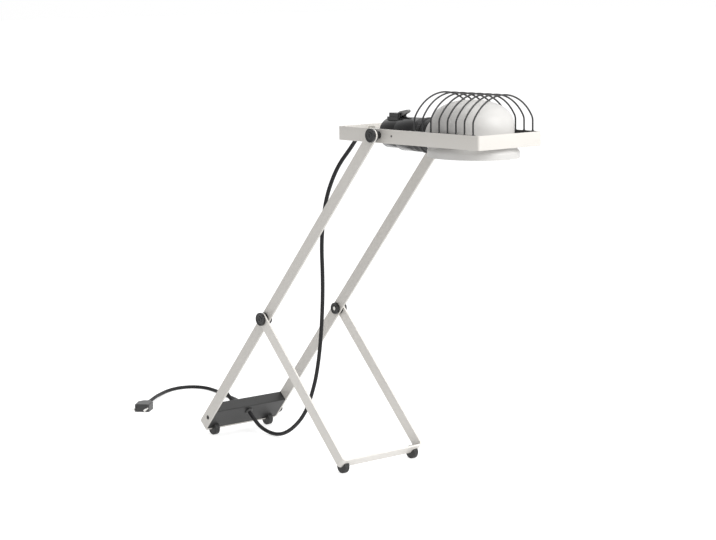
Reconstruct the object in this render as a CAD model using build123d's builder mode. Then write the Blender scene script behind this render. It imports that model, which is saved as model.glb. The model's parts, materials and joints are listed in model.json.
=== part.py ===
from build123d import *
import math
import os

os.makedirs("parts", exist_ok=True)

# Folding table lamp with a crossed strip stand and a wire-guarded head.
# Millimetres and degrees. X runs forward under the head, Y across, Z up.
# The origin is on the table, under the middle of the lamp without its mains lead.

# Stand
ARM_TILT = 49.0
LEG_TILT = 46.5
MID_HEIGHT = 208.0
ARM_UPPER = 385.0
STRIP = 3.0
STRIP_WIDTH = 18.0
STRIP_BEND = 4.5
ARM_HALF = 72.0
LEG_HALF = 78.0
FOOT_RADIUS = 10.0
FOOT_WIDTH = 9.0
FOOT_RIM = 1.6
FOOT_SINK = 0.2
REAR_FOOT_Y = 53.6
FRONT_FOOT_Y = 67.6

# Pivots
BOLT_RADIUS = 3.0
PIVOT_HOLE = 3.1
SPACER_RADIUS = 9.5
KNOB_RADIUS = 10.0
KNOB_DEPTH = 4.6
KNOB_BORE = 3.05
KNOB_SOCKET = 2.4
KNOB_SOCKET_DEPTH = 0.9
INNER_KNOB_RADIUS = 9.0
INNER_KNOB_DEPTH = 5.0
BOLT_IN_KNOB = 2.8
HEAD_BOLT_TAIL = 6.5
HEAD_NUT_RADIUS = 5.8
HEAD_NUT_DEPTH = 5.0

# Ballast case between the long arms, in levels along the arms below the crossing
CASE_TOP = -211.0
CASE_WALL = 1.5
CASE_SCREW_LEVEL = -233.6
CASE_SCREW_HOLE = 3.7
CASE_SCREW_THREAD = 2.0
CASE_SCREW_BORE = 2.1
CASE_SCREW_LENGTH = 12.0
CASE_SCREW_HEAD = 3.4
CASE_SCREW_HEAD_HEIGHT = 2.2
CASE_SCREW_SOCKET = 1.7
CASE_SCREW_SOCKET_DEPTH = 1.4
LEAD_EXIT_LEVEL = -223.5
MAINS_EXIT_LEVEL = -245.0
EXIT_HOLE = 4.6
WEIGHT_INNER_Y = 16.0
WEIGHT_TOP_GAP = 1.0
WEIGHT_SIDE_GAP = 0.1
TERMINAL_WIDTH = 20.0
TERMINAL_HEIGHT = 16.0
TERMINAL_HALF_DEPTH = 5.0
TERMINAL_PITCH = 8.0
TERMINAL_BORE = 1.7
TERMINAL_BORE_DEPTH = 6.0

# Head, measured forward and up from the head pivot
HEAD_REAR = -88.0
HEAD_FRONT = 203.0
HEAD_HALF = 59.5
HEAD_BOTTOM = -10.7
HEAD_TOP = 8.1
HEAD_STRIP = 2.0
HEAD_CORNER = 9.0
EARTH_X = 27.2
EARTH_Z = -0.5
EARTH_HOLE = 1.55

# Lamp holder, coaxial with X
HOLDER_Z = -2.0
TUBE_RADIUS = 5.0
TUBE_HOLE = 5.1
TUBE_NUT_RADIUS = 8.1
TUBE_NUT_DEPTH = 4.0
CAP_REAR = -45.0
CAP_FRONT = -10.0
CAP_RADIUS = 21.5
CAP_WALL = 2.0
CAP_FLOOR = 3.0
SKIRT_FRONT = 48.0
SKIRT_RADIUS = 24.2
RING_X = 38.0
RING_RADIUS = 28.0
SWITCH_PIVOT_X = -19.0
SWITCH_PIVOT_Z = 24.5
SWITCH_TILT = 30.0
SWITCH_PIN = 1.0
SWITCH_PIN_HOLE = 1.05
SWITCH_PIN_HALF = 6.4
SWITCH_SLOT_X = -17.0
SWITCH_SLOT_FLOOR = 20.7
SWITCH_SLOT_LENGTH = 12.0
SWITCH_SLOT_WIDTH = 6.0
LEVER_REACH = 11.0
LEVER_WIDTH = 5.0
LEVER_ROOT_RADIUS = 2.4
LEVER_TIP_RADIUS = 1.7
LEVER_BORE = 1.06

# Steps of the switch tower: rear end, front end, half width and top
TOWER_ROOT_Z = 12.0
TOWER_CORNER = 2.0
TOWER_STEPS = ((-39.0, -13.0, 10.0, 21.5), (-37.0, -15.0, 8.0, 27.2))

# Bulb, measured ahead of the head pivot
BULB_CAP_FRONT = 31.0
BULB_FOOT = 12.6
BULB_WIDEST_X = 72.0
BULB_RADIUS = 22.5
BULB_SKIN = 0.8

# Reflector, measured from the head pivot
SHADE_X = 130.0
SHADE_RIM_Z = -27.0
SHADE_RIM_HALF = 70.0
SHADE_WAIST_HALF = 62.0
SHADE_TOP_Z = 51.5
SHADE_WIDTH_RATIO = 0.82
SHADE_SKIN = 1.2
NECK_REAR = 44.0
NECK_BORE = 24.8

# Wire guard
HOOP_COUNT = 8
HOOP_FIRST_X = 72.0
HOOP_PITCH = 16.7
HOOP_WIRE = 1.2
HOOP_ARC = 63.5
HOOP_ARC_Z = -3.3
HOOP_BEND = 14.0
RAIL_DEPTH = 2.4
RAIL_HEIGHT = 5.0
RAIL_TOP = 8.6
RAIL_REAR = 62.0
RAIL_FRONT = 193.5

# Leads
CORD_RADIUS = 3.0
COIL_CENTRE = (-395.4, 105.0)
COIL_INNER = 23.4
COIL_PITCH = 6.6
COIL_TURNS = 3
COIL_START = 220.0
COIL_CLIMB = 0.5
COIL_CLIMB_SLOPE = 0.137
COIL_LEAD_IN = 24.0
PLUG_LENGTH = 36.0
PLUG_HALF_WIDTH = 13.2
PLUG_HALF_DEPTH = 6.5
PLUG_NECK = 16.0
PLUG_SHOULDER = 9.0
PLUG_REAR_HALF = 5.5
PLUG_CORNER = 3.0
PLUG_EDGE = 2.0
PIN_RADIUS = 2.0
PIN_LENGTH = 19.0
PIN_HALF_SPACING = 9.5
PIN_TIP = 1.2

# Places worked out from the dimensions above
arm_rise = math.radians(ARM_TILT)
leg_fall = math.radians(LEG_TILT)
half_strip = STRIP_WIDTH / 2
foot_height = FOOT_RADIUS - FOOT_SINK
arm_low = (MID_HEIGHT - foot_height - half_strip * math.cos(arm_rise)) / math.sin(arm_rise)
leg_low = (MID_HEIGHT - foot_height - half_strip * math.cos(leg_fall)) / math.sin(leg_fall)
rear_reach = (arm_low + STRIP / 2) * math.cos(arm_rise) + half_strip * math.sin(arm_rise)
front_reach = ARM_UPPER * math.cos(arm_rise) + HEAD_FRONT

up_arm = Vector(math.cos(arm_rise), 0, math.sin(arm_rise))
under_arm = Vector(math.sin(arm_rise), 0, -math.cos(arm_rise))
ahead_of_leg = Vector(math.sin(leg_fall), 0, math.cos(leg_fall))
mid = Vector((rear_reach - front_reach) / 2, 0, MID_HEIGHT)
head = mid + up_arm * ARM_UPPER
case_half = ARM_HALF - STRIP
case_floor = -arm_low + STRIP / 2
case_inside = case_floor + CASE_WALL
head_inside = HEAD_HALF - HEAD_STRIP
up_arm_axis = Axis(mid, up_arm)

# Local x of both frame planes runs across the lamp and local y towards the pivots.
arm_plane = Plane(origin=mid, x_dir=(0, 1, 0), z_dir=under_arm)
leg_plane = Plane(origin=mid, x_dir=(0, 1, 0), z_dir=ahead_of_leg)
holder_plane = Plane(
    origin=(head.X, 0, head.Z + HOLDER_Z), x_dir=(1, 0, 0), z_dir=(0, -1, 0)
)


def side_plane(point, y, side=1):
    """Plane square to the pivot axes, at a distance y out on one side."""
    return Plane(origin=(point.X, side * y, point.Z), x_dir=(1, 0, 0), z_dir=(0, side, 0))


def pivot_plane(point, side):
    """Plane holding a pivot axis, its local x running outwards from the middle."""
    return Plane(origin=(point.X, 0, point.Z), x_dir=(0, side, 0), z_dir=(1, 0, 0))


def case_plane(level, depth, side):
    """Plane on the front (side 1) or the back (side -1) of the ballast case."""
    centre = mid + up_arm * level + under_arm * (side * depth)
    return Plane(origin=centre, x_dir=(0, 1, 0), z_dir=under_arm * side)


def exit_plane(level, side):
    """Plane holding the axis of a lead where it leaves the case, local x outwards."""
    centre = mid + up_arm * level + under_arm * (side * half_strip)
    return Plane(origin=centre, x_dir=under_arm * side, z_dir=(0, 1, 0))


def across_plane(x, z=HOLDER_Z):
    """Plane square to X at a distance ahead of the head pivot, local y up."""
    return Plane(origin=(head.X + x, 0, head.Z + z), x_dir=(0, 1, 0), z_dir=(1, 0, 0))


def level_plane(z):
    """Level plane at a height above the head pivot, its origin over the pivot."""
    return Plane(origin=(head.X, 0, head.Z + z))


def turned(planes, *profile):
    """Revolve one profile of (distance, radius) points about each plane's local x."""
    with BuildPart() as piece:
        for plane in planes:
            with BuildSketch(plane):
                with BuildLine():
                    Polyline(*profile, close=True)
                make_face()
            revolve(axis=Axis(plane.origin, plane.x_dir))
    return piece


def keep(builder, name):
    """Label a finished piece and write it under its own name."""
    builder.part.label = name
    export_step(builder.part, f"parts/{name}.step")


# Strip frames, each one strip bent into a U with its ends rounded about a pivot
def bent_frame(plane, half_width, low, top, top_point, holes):
    centre_y = half_width - STRIP / 2
    with BuildPart() as frame:
        with BuildSketch(plane):
            with BuildLine():
                FilletPolyline(
                    (-centre_y, top),
                    (-centre_y, -low),
                    (centre_y, -low),
                    (centre_y, top),
                    radius=STRIP_BEND,
                )
            trace(line_width=STRIP)
        extrude(amount=half_strip, both=True)
        for side in (-1, 1):
            with BuildSketch(side_plane(top_point, half_width - STRIP, side)):
                Circle(half_strip)
            extrude(amount=STRIP)
        for point, radius in holes:
            with BuildSketch(side_plane(point, -half_width - STRIP)):
                Circle(radius)
            extrude(amount=2 * (half_width + STRIP), mode=Mode.SUBTRACT)
    return frame


case_screw = mid + up_arm * CASE_SCREW_LEVEL + under_arm
arm_holes = [(mid, PIVOT_HOLE), (head, PIVOT_HOLE), (case_screw, CASE_SCREW_HOLE)]
arm_frame = bent_frame(arm_plane, ARM_HALF, arm_low, ARM_UPPER, head, arm_holes)
keep(arm_frame, "arm_frame")

leg_frame = bent_frame(leg_plane, LEG_HALF, leg_low, 0, mid, [(mid, PIVOT_HOLE)])
keep(leg_frame, "leg_frame")


# Rubber feet, round discs slotted over the lower edge of each crossbar
def slotted_feet(plane, half_width, low, edge, foot_y, slot_top):
    centre = plane.from_local_coords(Vector(0, -low, edge * half_strip))
    slot_half = half_width - STRIP
    slot_floor = -low - STRIP / 2
    with BuildPart() as feet:
        for y in (-foot_y, foot_y):
            with BuildSketch(side_plane(centre, y - FOOT_WIDTH / 2)):
                Circle(FOOT_RADIUS)
            extrude(amount=FOOT_WIDTH)
        fillet(feet.edges().filter_by(GeomType.CIRCLE), FOOT_RIM)
        with BuildSketch(Plane.XY):
            with Locations((centre.X, 0)):
                Rectangle(4 * FOOT_RADIUS, 4 * half_width)
        extrude(amount=-FOOT_RADIUS, mode=Mode.SUBTRACT)
        with BuildSketch(plane):
            with Locations((0, (slot_floor + slot_top) / 2)):
                Rectangle(2 * slot_half, slot_top - slot_floor)
        extrude(amount=half_strip, both=True, mode=Mode.SUBTRACT)
    return feet


rear_feet = slotted_feet(arm_plane, ARM_HALF, arm_low, 1, REAR_FOOT_Y, CASE_TOP)
keep(rear_feet, "rear_feet")

leg_slot_top = -leg_low + STRIP / 2
front_feet = slotted_feet(leg_plane, LEG_HALF, leg_low, -1, FRONT_FOOT_Y, leg_slot_top)
keep(front_feet, "front_feet")

# Ballast case, folded from sheet, standing on the rear crossbar
with BuildPart() as case_cover:
    with BuildSketch(arm_plane):
        with Locations((0, (case_inside + CASE_TOP) / 2)):
            Rectangle(2 * case_half, CASE_TOP - case_inside)
        chamfer(vertices().sort_by(Axis.Y)[:2], CASE_WALL)
    extrude(amount=half_strip, both=True)
    fillet(edges().filter_by(Axis.Y).sort_by(up_arm_axis)[-2:], CASE_WALL)
    with BuildSketch(arm_plane):
        with Locations((0, (case_inside + CASE_TOP - CASE_WALL) / 2)):
            Rectangle(2 * (case_half - CASE_WALL), CASE_TOP - CASE_WALL - case_inside)
    extrude(amount=half_strip - CASE_WALL, both=True, mode=Mode.SUBTRACT)
    for level, side in ((LEAD_EXIT_LEVEL, 1), (MAINS_EXIT_LEVEL, -1)):
        with BuildSketch(case_plane(level, half_strip, side)):
            Circle(EXIT_HOLE)
        extrude(amount=-2 * CASE_WALL, mode=Mode.SUBTRACT)
    with BuildSketch(side_plane(case_screw, -case_half)):
        Circle(CASE_SCREW_BORE)
    extrude(amount=2 * case_half, mode=Mode.SUBTRACT)
keep(case_cover, "case_cover")

with BuildPart() as case_base:
    with BuildSketch(arm_plane):
        with Locations((0, (case_floor + case_inside) / 2)):
            Rectangle(2 * (case_half - STRIP_BEND + STRIP / 2), CASE_WALL)
    extrude(amount=half_strip, both=True)
keep(case_base, "case_base")

weight_top = CASE_TOP - CASE_WALL - WEIGHT_TOP_GAP
weight_outer_y = case_half - CASE_WALL
with BuildPart() as ballast_weights:
    with BuildSketch(arm_plane):
        for side in (-1, 1):
            centre_y = side * (WEIGHT_INNER_Y + weight_outer_y) / 2
            with Locations((centre_y, (case_inside + weight_top) / 2)):
                Rectangle(weight_outer_y - WEIGHT_INNER_Y, weight_top - case_inside)
    extrude(amount=half_strip - CASE_WALL - WEIGHT_SIDE_GAP, both=True)
    with BuildSketch(side_plane(case_screw, -case_half)):
        Circle(CASE_SCREW_BORE)
    extrude(amount=2 * case_half, mode=Mode.SUBTRACT)
keep(ballast_weights, "ballast_weights")

terminal_level = case_inside + TERMINAL_HEIGHT / 2
with BuildPart() as terminal_block:
    with BuildSketch(arm_plane):
        with Locations((0, terminal_level)):
            Rectangle(TERMINAL_WIDTH, TERMINAL_HEIGHT)
    extrude(amount=TERMINAL_HALF_DEPTH, both=True)
    with BuildSketch(case_plane(terminal_level, TERMINAL_HALF_DEPTH, 1)):
        with GridLocations(TERMINAL_PITCH, TERMINAL_PITCH, 2, 2):
            Circle(TERMINAL_BORE)
    extrude(amount=-TERMINAL_BORE_DEPTH, mode=Mode.SUBTRACT)
keep(terminal_block, "terminal_block")

with BuildPart() as case_screws:
    for side in (-1, 1):
        with BuildSketch(side_plane(case_screw, case_half, side)):
            Circle(CASE_SCREW_HEAD)
        extrude(amount=CASE_SCREW_HEAD_HEIGHT)
        with BuildSketch(side_plane(case_screw, case_half - CASE_SCREW_LENGTH, side)):
            Circle(CASE_SCREW_THREAD)
        extrude(amount=CASE_SCREW_LENGTH)
        with BuildSketch(side_plane(case_screw, case_half + CASE_SCREW_HEAD_HEIGHT, side)):
            RegularPolygon(CASE_SCREW_SOCKET, 6)
        extrude(amount=-CASE_SCREW_SOCKET_DEPTH, mode=Mode.SUBTRACT)
keep(case_screws, "case_screws")

# Where the leads pass the case walls
lead_grommet = turned(
    [exit_plane(LEAD_EXIT_LEVEL, 1)],
    (-2.5, 0),
    (-2.5, 6.2),
    (-1.5, 6.2),
    (-1.5, 4.5),
    (0, 4.5),
    (0, 6.4),
    (1.4, 6.4),
    (3, 4.4),
    (3, 0),
)
keep(lead_grommet, "lead_grommet")

mains_relief = turned(
    [exit_plane(MAINS_EXIT_LEVEL, -1)],
    (-2.5, 0),
    (-2.5, 6.2),
    (-1.5, 6.2),
    (-1.5, 4.5),
    (0, 4.5),
    (0, 6.4),
    (2, 6.4),
    (3, 5.6),
    (7, 5.3),
    (7, 4.4),
    (8.4, 4.4),
    (8.4, 5.1),
    (11.4, 4.8),
    (11.4, 4.1),
    (12.8, 4.1),
    (12.8, 4.6),
    (18, 4.0),
    (18, 0),
)
keep(mains_relief, "mains_relief")

# Crossing pivots between the long arms and the front legs
both_sides = [pivot_plane(mid, side) for side in (-1, 1)]
mid_spacers = turned(
    both_sides,
    (ARM_HALF, PIVOT_HOLE),
    (ARM_HALF, SPACER_RADIUS),
    (LEG_HALF - STRIP, SPACER_RADIUS),
    (LEG_HALF - STRIP, PIVOT_HOLE),
)
keep(mid_spacers, "mid_spacers")

inner_knob_face = case_half - INNER_KNOB_DEPTH
mid_inner_knobs = turned(
    both_sides,
    (case_half, KNOB_BORE),
    (case_half, INNER_KNOB_RADIUS),
    (inner_knob_face + 0.8, INNER_KNOB_RADIUS),
    (inner_knob_face, INNER_KNOB_RADIUS - 0.8),
    (inner_knob_face, 7.0),
    (inner_knob_face + 1, 6.4),
    (inner_knob_face + 1, 4.6),
    (inner_knob_face, 4.2),
    (inner_knob_face, KNOB_BORE),
)
keep(mid_inner_knobs, "mid_inner_knobs")

mid_bolts = turned(
    both_sides,
    (inner_knob_face + 0.6, 0),
    (inner_knob_face + 0.6, BOLT_RADIUS),
    (LEG_HALF + BOLT_IN_KNOB, BOLT_RADIUS),
    (LEG_HALF + BOLT_IN_KNOB, 0),
)
keep(mid_bolts, "mid_bolts")


# Clamp knobs, dished discs with a hub and a hexagon socket
def clamp_knob(point, face, side):
    axis_plane = pivot_plane(point, side)
    rim = face + KNOB_DEPTH
    hub = rim - 0.3
    with BuildPart() as knob:
        with BuildSketch(axis_plane):
            with BuildLine():
                Polyline(
                    (face, KNOB_BORE),
                    (face, KNOB_RADIUS - 0.6),
                    (face + 0.6, KNOB_RADIUS),
                    (rim - 0.7, KNOB_RADIUS),
                    (rim, KNOB_RADIUS - 0.7),
                    (rim, 8.2),
                    (rim - 1.2, 7.6),
                    (rim - 1.2, 4.7),
                    (hub, 4.2),
                    (hub, 0),
                    (face + 3.0, 0),
                    (face + 3.0, KNOB_BORE),
                    close=True,
                )
            make_face()
        revolve(axis=Axis(axis_plane.origin, axis_plane.x_dir))
        with BuildSketch(side_plane(point, hub, side)):
            RegularPolygon(KNOB_SOCKET, 6)
        extrude(amount=-KNOB_SOCKET_DEPTH, mode=Mode.SUBTRACT)
    return knob


for side, hand in ((-1, "right"), (1, "left")):
    keep(clamp_knob(mid, LEG_HALF, side), f"mid_knob_{hand}")
    keep(clamp_knob(head, ARM_HALF, side), f"head_knob_{hand}")

# Head pivots between the long arms and the head frame
both_head_sides = [pivot_plane(head, side) for side in (-1, 1)]
head_spacers = turned(
    both_head_sides,
    (HEAD_HALF, PIVOT_HOLE),
    (HEAD_HALF, SPACER_RADIUS - 0.6),
    (HEAD_HALF + 0.6, SPACER_RADIUS),
    (case_half - 0.6, SPACER_RADIUS),
    (case_half, SPACER_RADIUS - 0.6),
    (case_half, PIVOT_HOLE),
)
keep(head_spacers, "head_spacers")

head_bolts = turned(
    both_head_sides,
    (head_inside - HEAD_BOLT_TAIL, 0),
    (head_inside - HEAD_BOLT_TAIL, BOLT_RADIUS),
    (ARM_HALF + BOLT_IN_KNOB, BOLT_RADIUS),
    (ARM_HALF + BOLT_IN_KNOB, 0),
)
keep(head_bolts, "head_bolts")

with BuildPart() as head_nuts:
    for side in (-1, 1):
        with BuildSketch(side_plane(head, head_inside, side)):
            RegularPolygon(HEAD_NUT_RADIUS, 6)
            Circle(KNOB_BORE, mode=Mode.SUBTRACT)
        extrude(amount=-HEAD_NUT_DEPTH)
keep(head_nuts, "head_nuts")

# Head frame, a strip bent into a long ring
head_length = HEAD_FRONT - HEAD_REAR
earth_point = head + Vector(EARTH_X, 0, EARTH_Z)
with BuildPart() as head_frame:
    with BuildSketch(level_plane(HEAD_BOTTOM)):
        with Locations(((HEAD_FRONT + HEAD_REAR) / 2, 0)):
            RectangleRounded(head_length, 2 * HEAD_HALF, HEAD_CORNER)
            RectangleRounded(
                head_length - 2 * HEAD_STRIP,
                2 * head_inside,
                HEAD_CORNER - HEAD_STRIP,
                mode=Mode.SUBTRACT,
            )
    extrude(amount=HEAD_TOP - HEAD_BOTTOM)
    with BuildSketch(side_plane(head, -HEAD_HALF)):
        Circle(PIVOT_HOLE)
    extrude(amount=2 * HEAD_HALF, mode=Mode.SUBTRACT)
    with BuildSketch(side_plane(earth_point, -HEAD_HALF)):
        Circle(EARTH_HOLE)
    extrude(amount=HEAD_STRIP, mode=Mode.SUBTRACT)
    with BuildSketch(across_plane(HEAD_REAR)):
        Circle(TUBE_HOLE)
    extrude(amount=HEAD_STRIP, mode=Mode.SUBTRACT)
keep(head_frame, "head_frame")

earth_tag = turned(
    [pivot_plane(earth_point, -1)],
    (head_inside, 1.6),
    (head_inside, 3.6),
    (head_inside - 0.8, 3.6),
    (head_inside - 0.8, 1.6),
)
keep(earth_tag, "earth_tag")

earth_screw = turned(
    [pivot_plane(earth_point, -1)],
    (HEAD_HALF - 0.3, 0),
    (HEAD_HALF - 0.3, 1.5),
    (head_inside - 0.8, 1.5),
    (head_inside - 0.8, 3.0),
    (head_inside - 2.2, 3.0),
    (head_inside - 2.8, 2.2),
    (head_inside - 2.8, 0),
)
keep(earth_screw, "earth_screw")

# Wire guard, hoops standing on two rails inside the head frame
rail_y = head_inside - RAIL_DEPTH / 2
with BuildPart() as guard_rails:
    with BuildSketch(level_plane(RAIL_TOP - RAIL_HEIGHT)):
        for side in (-1, 1):
            with Locations(((RAIL_REAR + RAIL_FRONT) / 2, side * rail_y)):
                Rectangle(RAIL_FRONT - RAIL_REAR, RAIL_DEPTH)
    extrude(amount=RAIL_HEIGHT)
keep(guard_rails, "guard_rails")

bend_y = rail_y - HOOP_BEND
hoop_knee = HOOP_ARC_Z + math.sqrt((HOOP_ARC - HOOP_BEND) ** 2 - bend_y**2)
hoop_lean = math.atan2(hoop_knee - HOOP_ARC_Z, bend_y)


def hoop_points(side):
    """Foot, knee, middle of the bend and end of the bend, on one side of a hoop."""
    return (
        (side * rail_y, RAIL_TOP),
        (side * rail_y, hoop_knee),
        (
            side * (bend_y + HOOP_BEND * math.cos(hoop_lean / 2)),
            hoop_knee + HOOP_BEND * math.sin(hoop_lean / 2),
        ),
        (side * HOOP_ARC * math.cos(hoop_lean), HOOP_ARC_Z + HOOP_ARC * math.sin(hoop_lean)),
    )


right_foot, right_knee, right_bend, right_join = hoop_points(-1)
left_foot, left_knee, left_bend, left_join = hoop_points(1)
with BuildPart() as guard_hoops:
    for place in range(HOOP_COUNT):
        x = HOOP_FIRST_X + place * HOOP_PITCH
        with BuildLine(across_plane(x, 0)):
            Line(right_foot, right_knee)
            ThreePointArc(right_knee, right_bend, right_join)
            ThreePointArc(right_join, (0, HOOP_ARC_Z + HOOP_ARC), left_join)
            ThreePointArc(left_join, left_bend, left_knee)
            Line(left_knee, left_foot)
        with BuildSketch(Plane(origin=(head.X + x, -rail_y, head.Z + RAIL_TOP))):
            Circle(HOOP_WIRE)
        sweep()
keep(guard_hoops, "guard_hoops")


# Reflector, a round bowl drawn narrower across, with a neck over the holder
def bowl(skin):
    low = SHADE_RIM_Z - skin
    rim = SHADE_RIM_HALF - skin
    waist = SHADE_WAIST_HALF - skin
    top = SHADE_TOP_Z - skin
    with BuildPart() as form:
        with BuildSketch(Plane.XZ):
            with BuildLine():
                Polyline((0, top), (0, low), (rim, low), (rim, -20))
                Spline((rim, -20), (waist, -9), tangents=((0, 1), (0, 1)))
                Line((waist, -9), (waist, 15))
                Spline(
                    (waist, 15),
                    (0.93 * waist, 31 - skin),
                    (0.76 * waist, 41 - skin),
                    (0.48 * waist, 48 - skin),
                    (0, top),
                    tangents=((0, 1), (-1, 0)),
                )
            make_face()
        revolve(axis=Axis.Z)
    shaped = scale(form.part, by=(1, SHADE_WIDTH_RATIO, 1))
    return shaped.moved(Location((head.X + SHADE_X, 0, head.Z)))


outer_bowl = bowl(0)
inner_bowl = bowl(SHADE_SKIN)
with BuildPart() as reflector:
    add(outer_bowl)
    with BuildSketch(across_plane(NECK_REAR)):
        Circle(NECK_BORE + SHADE_SKIN)
    extrude(amount=SHADE_X - NECK_REAR)
    with BuildSketch(across_plane(NECK_REAR)):
        Circle(RING_RADIUS + 0.5)
    extrude(amount=SHADE_SKIN)
    with BuildSketch(level_plane(SHADE_RIM_Z)):
        with Locations((SHADE_X, 0)):
            Rectangle(4 * SHADE_RIM_HALF, 2 * SHADE_RIM_HALF)
    extrude(amount=-4 * SHADE_SKIN, mode=Mode.SUBTRACT)
    add(inner_bowl, mode=Mode.SUBTRACT)
    with BuildSketch(across_plane(NECK_REAR)):
        Circle(NECK_BORE)
    extrude(amount=SHADE_X - NECK_REAR, mode=Mode.SUBTRACT)
keep(reflector, "reflector")

# Lamp holder on its threaded tube
on_axis = [holder_plane]
holder_tube = turned(
    on_axis, (-91, 3.6), (-91, TUBE_RADIUS), (-38, TUBE_RADIUS), (-38, 3.6)
)
keep(holder_tube, "holder_tube")

with BuildPart() as tube_nuts:
    for x in (HEAD_REAR + HEAD_STRIP, CAP_REAR - TUBE_NUT_DEPTH, CAP_REAR + CAP_FLOOR):
        with BuildSketch(across_plane(x)):
            RegularPolygon(TUBE_NUT_RADIUS, 6)
            Circle(TUBE_HOLE, mode=Mode.SUBTRACT)
        extrude(amount=TUBE_NUT_DEPTH)
keep(tube_nuts, "tube_nuts")

lead_grip = turned(
    on_axis,
    (HEAD_REAR, TUBE_HOLE),
    (HEAD_REAR, 8.0),
    (-91.5, 8.0),
    (-92.5, 6.0),
    (-97, 4.2),
    (-97, 0),
    (-91.1, 0),
    (-91.1, TUBE_HOLE),
)
keep(lead_grip, "lead_grip")

# Switch tower moulded on the rear cap, slotted for the lever
switch_axis = head + Vector(SWITCH_PIVOT_X, 0, SWITCH_PIVOT_Z)
cap_inside = CAP_RADIUS - CAP_WALL
cap_floor = CAP_REAR + CAP_FLOOR
with BuildPart() as holder_cap:
    with BuildSketch(holder_plane):
        with BuildLine():
            Polyline(
                (CAP_REAR, TUBE_HOLE),
                (CAP_REAR, CAP_RADIUS - 3),
                (CAP_REAR + 1, CAP_RADIUS - 1),
                (CAP_REAR + 3, CAP_RADIUS),
                (CAP_FRONT, CAP_RADIUS),
                (CAP_FRONT, cap_inside),
                (cap_floor, cap_inside),
                (cap_floor, TUBE_HOLE),
                close=True,
            )
        make_face()
    revolve(axis=Axis(holder_plane.origin, holder_plane.x_dir))
    for rear, front, half_y, top in TOWER_STEPS:
        with BuildSketch(level_plane(TOWER_ROOT_Z)):
            with Locations(((rear + front) / 2, 0)):
                RectangleRounded(front - rear, 2 * half_y, TOWER_CORNER)
        extrude(amount=top - TOWER_ROOT_Z)
    with BuildSketch(across_plane(cap_floor)):
        Circle(cap_inside)
    extrude(amount=CAP_FRONT - cap_floor, mode=Mode.SUBTRACT)
    with BuildSketch(level_plane(SWITCH_SLOT_FLOOR)):
        with Locations((SWITCH_SLOT_X, 0)):
            Rectangle(SWITCH_SLOT_LENGTH, SWITCH_SLOT_WIDTH)
    extrude(amount=CAP_RADIUS, mode=Mode.SUBTRACT)
    with BuildSketch(side_plane(switch_axis, -SWITCH_PIN_HALF)):
        Circle(SWITCH_PIN_HOLE)
    extrude(amount=2 * SWITCH_PIN_HALF, mode=Mode.SUBTRACT)
keep(holder_cap, "holder_cap")

with BuildPart() as switch_pin:
    with BuildSketch(side_plane(switch_axis, -SWITCH_PIN_HALF)):
        Circle(SWITCH_PIN)
    extrude(amount=2 * SWITCH_PIN_HALF)
keep(switch_pin, "switch_pin")

lever_fall = math.radians(SWITCH_TILT)
lever_tip = (LEVER_REACH * math.cos(lever_fall), -LEVER_REACH * math.sin(lever_fall))
with BuildPart() as switch_lever:
    with BuildSketch(side_plane(switch_axis, -LEVER_WIDTH / 2)):
        with BuildLine():
            CenterArc((0, 0), LEVER_ROOT_RADIUS, 0, 360)
            CenterArc(lever_tip, LEVER_TIP_RADIUS, 0, 360)
        make_hull()
        Circle(LEVER_BORE, mode=Mode.SUBTRACT)
    extrude(amount=LEVER_WIDTH)
keep(switch_lever, "switch_lever")

holder_skirt = turned(
    on_axis,
    (CAP_FRONT, 14),
    (CAP_FRONT, SKIRT_RADIUS - 0.8),
    (CAP_FRONT + 0.8, SKIRT_RADIUS),
    (SKIRT_FRONT, SKIRT_RADIUS),
    (SKIRT_FRONT, SKIRT_RADIUS - 1.6),
    (CAP_FRONT + 1.5, SKIRT_RADIUS - 1.6),
    (CAP_FRONT + 1.5, 14),
)
keep(holder_skirt, "holder_skirt")

insulator_rear = CAP_FRONT + 1.5
holder_insulator = turned(
    on_axis, (insulator_rear, 4), (insulator_rear, 22.4), (0, 22.4), (0, 4)
)
keep(holder_insulator, "holder_insulator")

holder_shell = turned(
    on_axis, (0, 6), (0, 14.6), (30, 14.6), (30, 13.9), (0.7, 13.9), (0.7, 6)
)
keep(holder_shell, "holder_shell")

holder_contact = turned(
    on_axis, (insulator_rear, 0), (insulator_rear, 3.9), (2.6, 3.9), (2.6, 0)
)
keep(holder_contact, "holder_contact")

shade_ring = turned(
    on_axis,
    (RING_X, SKIRT_RADIUS + 0.05),
    (RING_X, RING_RADIUS - 0.6),
    (RING_X + 0.6, RING_RADIUS),
    (NECK_REAR, RING_RADIUS),
    (NECK_REAR, SKIRT_RADIUS + 0.05),
)
keep(shade_ring, "shade_ring")

# Bulb
bulb_cap = turned(
    on_axis,
    (2.6, 0),
    (2.6, 4.2),
    (4.5, 7.5),
    (6.5, 12.4),
    (8, 13.2),
    (BULB_CAP_FRONT, 13.2),
    (BULB_CAP_FRONT, 0),
)
keep(bulb_cap, "bulb_cap")

with BuildPart() as bulb_glass:
    for skin, mode in ((0, Mode.ADD), (BULB_SKIN, Mode.SUBTRACT)):
        foot = (BULB_CAP_FRONT, BULB_FOOT - skin)
        neck = [(42, 15.5 - skin), (58, 20.5 - skin)]
        widest = (BULB_WIDEST_X, BULB_RADIUS - skin)
        nose = (BULB_WIDEST_X + BULB_RADIUS - skin, 0)
        with BuildSketch(holder_plane):
            with BuildLine():
                Polyline(nose, (BULB_CAP_FRONT, 0), foot)
                Spline(foot, *neck, widest, tangents=((1, 0.1), (1, 0)))
                RadiusArc(widest, nose, BULB_RADIUS - skin)
            make_face()
        revolve(axis=Axis(holder_plane.origin, holder_plane.x_dir), mode=mode)
keep(bulb_glass, "bulb_glass")


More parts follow.
